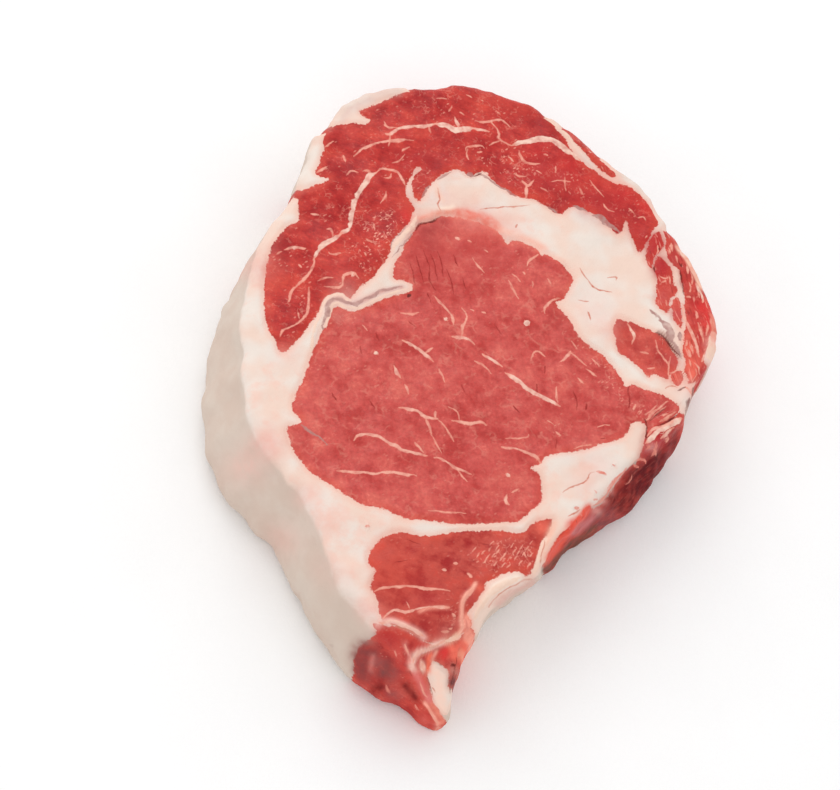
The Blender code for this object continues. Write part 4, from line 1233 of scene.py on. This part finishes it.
def meat_material(settings):
    """Lean, fat and everything between, drawn from the skin's stored distances.

    Depths into the muscles and gaps to the strokes are in mm, and noises run about -1 to 1.
    """
    s = Shading("raw_beef")
    tone = {name: rgb(*display) for name, display in COLOURS.items()}
    eye, cap, lip = s.attribute("muscle")
    island, edge, tail = s.attribute("other")
    side, cover, flecked = s.attribute("cover")
    tint = s.add("ShaderNodeAttribute", attribute_name="tint").outputs["Color"]

    fine = s.noise(0.9, 2.0)
    grain = s.noise(2.6, 3.0)
    patch = s.noise(11.0, 2.0)
    broad = s.noise(30.0, 1.0)
    blotch = s.noise(4.6, 3.0, roughness=0.6)

    # Lean where the depth inside any muscle, ruffled at two scales, is above 0.
    meander = s.noise(3.4, 2.0)
    shred = s.noise(1.2, 3.0, roughness=0.7)
    ruffle = meander * 0.34 + shred * 0.46
    depth = eye.most(cap).most(lip).most(island).most(edge).most(tail)
    lean = (depth + ruffle).step(-0.2, 0.22)
    in_eye = (eye - cap.most(lip)).step(-0.4, 0.4)
    in_lip = (lip - cap.most(eye)).step(-0.4, 0.4)
    in_tail = (tail.most(edge) - cap.most(eye).most(lip).most(island)).step(-0.4, 0.4)

    # Fibres: the eye's grain is cut across, the others' lies along them.
    bundles = s.noise(1.0, 2.0, s.stretched(98.0, 4.5, 1.1))
    strands = s.noise(1.0, 2.0, s.stretched(-22.0, 3.2, 0.9))
    thread = bundles * in_eye + strands * (1 - in_eye)

    lean_colour = s.mix(in_eye, linear(settings.cap_colour), linear(settings.eye_colour))
    lean_colour = s.mix(in_lip, lean_colour, linear(settings.lip_colour))
    lean_colour = s.mix(in_tail, lean_colour, tone["tail_lean"])
    deep = s.mix(in_eye, tone["deep_cap"], tone["deep_eye"])
    light = s.mix(in_eye, tone["light_cap"], tone["light_eye"])
    mottle = patch * 0.45 + blotch * 0.6 + broad * 0.3 + thread * 0.05
    lean_colour = s.mix(mottle.step(0.15, -0.6) * 0.9, lean_colour, deep)
    lean_colour = s.mix(mottle.step(0.0, 0.7) * 0.8, lean_colour, light)
    speckle = thread * (0.1 - in_eye * 0.06) + fine * 0.12
    lean_colour = s.scaled(lean_colour, 1 + speckle * (1 - in_lip * 0.6))
    rim_glow = depth.step(3.2, 0.2) * (0.5 + patch * 0.35).clamp()
    lean_colour = s.mix(rim_glow * 0.55, lean_colour, tone["lean_rim"])

    # Marbling too fine to be laid out: broken walls between bundles, short threads and flecks.
    warp = s.add("ShaderNodeTexNoise", inputs={"Vector": s.place, "Scale": 0.35, "Detail": 3.0})
    shift = s.scaled(warp.outputs["Color"], 4.0)
    shifted = s.add("ShaderNodeVectorMath", operation="ADD", inputs={0: s.place, 1: shift})
    walls = s.cells(3.4, shifted.outputs[0], "DISTANCE_TO_EDGE").step(0.16, 0.0)
    walls = walls * s.noise(4.0, 2.0).step(-0.1, 0.7)
    threads = s.cells(2.3, shifted.outputs[0], "DISTANCE_TO_EDGE").step(0.085, 0.02)
    threads = threads * (s.noise(2.8, 2.0) + flecked * 0.25).step(0.1, 0.55)
    flecks = s.cells(1.6, s.stretched(35.0, 1.5, 0.75)).step(0.3, 0.12)
    flecks = flecks.most(s.cells(1.4, s.stretched(108.0, 1.5, 0.65)).step(0.3, 0.12) * flecked)
    flecks = flecks * (s.noise(3.2, 1.0) + flecked * 0.6).step(0.1, 0.6)
    dust = fine.step(0.35, 0.9) * blotch.step(0.0, 0.6)
    busy = flecked * 0.75 + cap.step(-0.2, 0.6) * 0.35 + in_tail * 0.2 + 0.06
    marbling = (threads * busy * 0.6).most(flecks * (0.25 + busy))
    marbling = marbling.most(dust * 0.35).most(walls * in_eye * 0.38)
    lean_colour = s.mix(marbling * 0.66, lean_colour, tone["marbling"])

    # Fat: whiter and pinker by patches, warm against the lean, and down the sides grayer and darker
    # as painted shade of the walls, in patches.
    fat_colour = s.mix(patch.step(-0.5, 0.6), linear(settings.fat_colour), tone["pale_fat"])
    pink = (blotch * 0.7 + broad * 0.5 - 0.1).step(0.0, 0.7) * 0.5
    fat_colour = s.mix(pink, fat_colour, tone["pink_fat"])
    fat_colour = s.mix(depth.step(-2.4, 0.0) * 0.55, fat_colour, tone["fat_rim"])
    dull = (patch * 0.8 + grain * 0.25).step(-0.7, 0.7)
    side_shade_colour = s.mix(dull, tone["side_shade_dark"], tone["side_shade_pale"])
    fat_colour = s.mix((side + grain * 0.06).step(0.3, 0.62), fat_colour, side_shade_colour)

    # The tints, then the streaks of fat and the gashes of the pieces along the edge.
    colour = s.mix(lean, fat_colour, lean_colour)
    colour = s.mix(cover * (0.85 + grain * 0.3), colour, tint)
    streaks = s.noise(1.0, 2.0, s.stretched(102.0, 6.0, 0.8)) * (1 - side)
    streaks = streaks + s.noise(1.0, 2.0, s.stretched(46.0, 6.0, 0.9)) * side
    streaked = edge.step(0.0, 0.6)
    white = streaks.step(0.35, 0.9) * streaked * (0.6 - side * 0.5)
    colour = s.mix(white, colour, tone["streak"])
    colour = s.mix(streaks.step(-0.3, -1.0) * streaked * 0.5, colour, tone["gash"])

    # Strokes, layer over layer: a line is drawn where its ragged gap is less than its width.
    # Silver skin and the painted gray shade drawn with it are the most ragged, and lines from that
    # kind on fade down the sides.
    ragged = meander * 0.26 + shred * 0.12
    thickening = s.noise(3.4, 2.0) * 0.5 + 0.92
    faint = (0.8 + s.noise(1.8, 1.0) * 0.35).clamp()
    for k in range(STROKE_LAYERS):
        gap, width, kind = s.attribute(f"stroke_{k}")
        silver_and_shade = kind.step(0.4, 0.45) * kind.step(0.6, 0.55)
        gap = gap + ragged * (1 + silver_and_shade)
        line = (width * thickening - abs(gap)).step(-0.2, 0.2)
        thick = width.step(0.3, 0.8) * kind.step(0.17, 0.13)
        ink = s.mix(thick, s.ramp(kind, INKS), tone["thick_vein"])
        shown = 1 - side * kind.step(0.35, 0.45) * 0.9
        colour = s.mix(line * faint * shown, colour, ink)
        lean = lean * (1 - line)

    wet = s.noise(5.0, 2.0)
    muscle = depth.step(-0.2, 0.2)
    relief = fine * 0.05 + grain * 0.05 + (strands + s.noise(0.45, 1.0)) * muscle * 0.03
    s.surface(
        Base_Color=colour,
        Roughness=0.46 - lean * 0.06 + wet * 0.07 + fine * 0.05 + side * 0.3,
        IOR=1.4,
        Specular_IOR_Level=0.2,
        Coat_Weight=((lean * 0.12 + 0.05 + wet * 0.06) * (1 - side)).clamp(),
        Coat_Roughness=0.3,
        Normal=s.bump(relief, 0.5),
    )
    return s.material


def floor_material():
    """Matt off-white studio paper with the faintest fibre."""
    s = Shading("studio_paper")
    dark, light = ((gray, gray, gray, 1.0) for gray in PAPER)
    s.surface(
        Base_Color=s.mix(s.noise(40.0, 3.0).step(-1.0, 1.0), dark, light),
        Roughness=0.9,
        Normal=s.bump(s.noise(0.8), 0.05),
    )
    return s.material


# ---------------------------------------------------------------------------------------------
# The add-on


def colour_setting(name, part, display):
    """A colour property whose default is given in display values of 0 to 255."""
    return bpy.props.FloatVectorProperty(
        name=name, description=f"Colour of the {part}", default=[v / 255 for v in display],
        min=0.0, max=1.0, subtype="COLOR_GAMMA",
    )


class SteakSettings(bpy.types.PropertyGroup):
    """Sizes and colours of the steak."""

    thickness: bpy.props.FloatProperty(
        name="Thickness", description="Height of the upper cut face above the board, in mm",
        default=PLANE, min=15.0, max=50.0,
    )
    relief: bpy.props.FloatProperty(
        name="Relief", description="How strongly fat, lean and folds stand out",
        default=1.0, min=0.0, max=2.0, subtype="FACTOR",
    )
    eye_colour: colour_setting("Eye", "eye muscle's lean", (201, 81, 75))
    cap_colour: colour_setting("Cap", "cap muscle's lean", (186, 50, 44))
    lip_colour: colour_setting("Lip", "lip muscle's lean", (192, 74, 62))
    fat_colour: colour_setting("Fat", "seam and rim fat", (235, 207, 192))


class StudioSettings(bpy.types.PropertyGroup):
    """Camera and light of the studio."""

    azimuth: bpy.props.FloatProperty(
        name="Azimuth", description="Camera's turn round the steak", default=math.radians(-25.0),
        subtype="ANGLE", unit="ROTATION",
    )
    elevation: bpy.props.FloatProperty(
        name="Elevation", description="Camera's height above the horizon",
        default=math.radians(60.0), subtype="ANGLE", unit="ROTATION",
    )
    roll: bpy.props.FloatProperty(
        name="Roll", description="Camera's turn about its own line of sight",
        default=math.radians(25.0), subtype="ANGLE", unit="ROTATION",
    )
    distance: bpy.props.FloatProperty(
        name="Distance", description="From the camera to its target", default=0.9,
        subtype="DISTANCE", unit="LENGTH",
    )
    lens: bpy.props.FloatProperty(
        name="Lens", description="Focal length on a 36 mm sensor, in mm", default=131.14,
    )
    target: bpy.props.FloatVectorProperty(
        name="Target", description="Point that the camera looks at",
        default=(-0.0176, -0.0086, 0.032), subtype="XYZ", unit="LENGTH",
    )
    light: bpy.props.FloatProperty(
        name="Light", description="Power of the main soft light, in watts", default=4.4, min=0.0,
    )
    sky: bpy.props.FloatProperty(
        name="Sky", description="Strength of the even light from all round", default=0.94, min=0.0,
    )


class STEAK_OT_meat(bpy.types.Operator):
    """Model the steak's skin and give it its raw beef material"""

    bl_idname = "steak.meat"
    bl_label = "Steak"

    def execute(self, context):
        settings = context.scene.steak
        places, faces, attributes = steak_skin(settings.thickness, settings.relief)
        skin = mesh_piece("steak_skin", places, faces, attributes, meat_material(settings))
        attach(skin, "root")
        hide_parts("steak")
        return {"FINISHED"}


class STEAK_OT_stage(bpy.types.Operator):
    """Lay a pale floor and set up soft light and the camera"""

    bl_idname = "steak.stage"
    bl_label = "Studio"

    def execute(self, context):
        settings = context.scene.steak_studio
        corners = [(-1, -1), (1, -1), (1, 1), (-1, 1)]
        places = [(x * FLOOR_HALF, y * FLOOR_HALF, FLOOR_HEIGHT) for x, y in corners]
        mesh = bpy.data.meshes.new("floor")
        mesh.from_pydata(places, [], [(0, 1, 2, 3)])
        mesh.materials.append(floor_material())
        floor = bpy.data.objects.new("floor", mesh)
        context.scene.collection.objects.link(floor)
        for name, (place, share) in LIGHTS.items():
            self.add_light(context, name, place, settings.light * share)
        world = bpy.data.worlds.new("studio")
        world.use_nodes = True
        background = world.node_tree.nodes["Background"].inputs
        background["Color"].default_value = (1.0, 1.0, 1.0, 1.0)
        background["Strength"].default_value = settings.sky
        context.scene.world = world
        context.scene.view_settings.view_transform = "Standard"
        self.add_camera(context, settings)
        return {"FINISHED"}

    def add_light(self, context, name, place, power):
        """A square soft light that faces the steak."""
        light = bpy.data.lights.new(name, "AREA")
        light.size = LIGHT_SIZE
        light.energy = power
        lamp = bpy.data.objects.new(name, light)
        lamp.location = place
        lamp.rotation_mode = "QUATERNION"
        lamp.rotation_quaternion = (-Vector(place)).to_track_quat("-Z", "Y")
        context.scene.collection.objects.link(lamp)

    def add_camera(self, context, settings):
        """Looks at the target from its azimuth and elevation, turned by the roll: right and up
        are the level line and the cross product of back with it, turned by that angle."""
        camera = bpy.data.cameras.new("camera")
        camera.sensor_width = SENSOR
        camera.lens = settings.lens
        flat = math.cos(settings.elevation)
        back = Vector((math.sin(settings.azimuth) * flat, -math.cos(settings.azimuth) * flat,
                       math.sin(settings.elevation)))
        level = Vector((0, 0, 1)).cross(back).normalized()
        rise = back.cross(level)
        right = math.cos(settings.roll) * level + math.sin(settings.roll) * rise
        up = back.cross(right)
        viewer = bpy.data.objects.new("camera", camera)
        turn = Matrix((right, up, back)).transposed()
        place = Vector(settings.target) + back * settings.distance
        viewer.matrix_world = Matrix.Translation(place) @ turn.to_4x4()
        context.scene.collection.objects.link(viewer)
        context.scene.camera = viewer


class STEAK_PT_panel(bpy.types.Panel):
    """Lists the steak's settings and operators"""

    bl_idname = "STEAK_PT_panel"
    bl_label = "Raw Ribeye Steak"
    bl_space_type = "VIEW_3D"
    bl_region_type = "UI"
    bl_category = "Steak"

    def draw(self, context):
        for group in (context.scene.steak, context.scene.steak_studio):
            box = self.layout.box()
            for name in group.__annotations__:
                box.prop(group, name)
        for operator in (STEAK_OT_meat, STEAK_OT_stage):
            self.layout.operator(operator.bl_idname)


CLASSES = (SteakSettings, StudioSettings, STEAK_OT_meat, STEAK_OT_stage, STEAK_PT_panel)


def register():
    for cls in CLASSES:
        bpy.utils.register_class(cls)
    bpy.types.Scene.steak = bpy.props.PointerProperty(type=SteakSettings)
    bpy.types.Scene.steak_studio = bpy.props.PointerProperty(type=StudioSettings)


def unregister():
    del bpy.types.Scene.steak_studio
    del bpy.types.Scene.steak
    for cls in reversed(CLASSES):
        bpy.utils.unregister_class(cls)


def main():
    register()
    bpy.ops.steak.meat()
    bpy.ops.steak.stage()


if __name__ == "__main__":
    main()
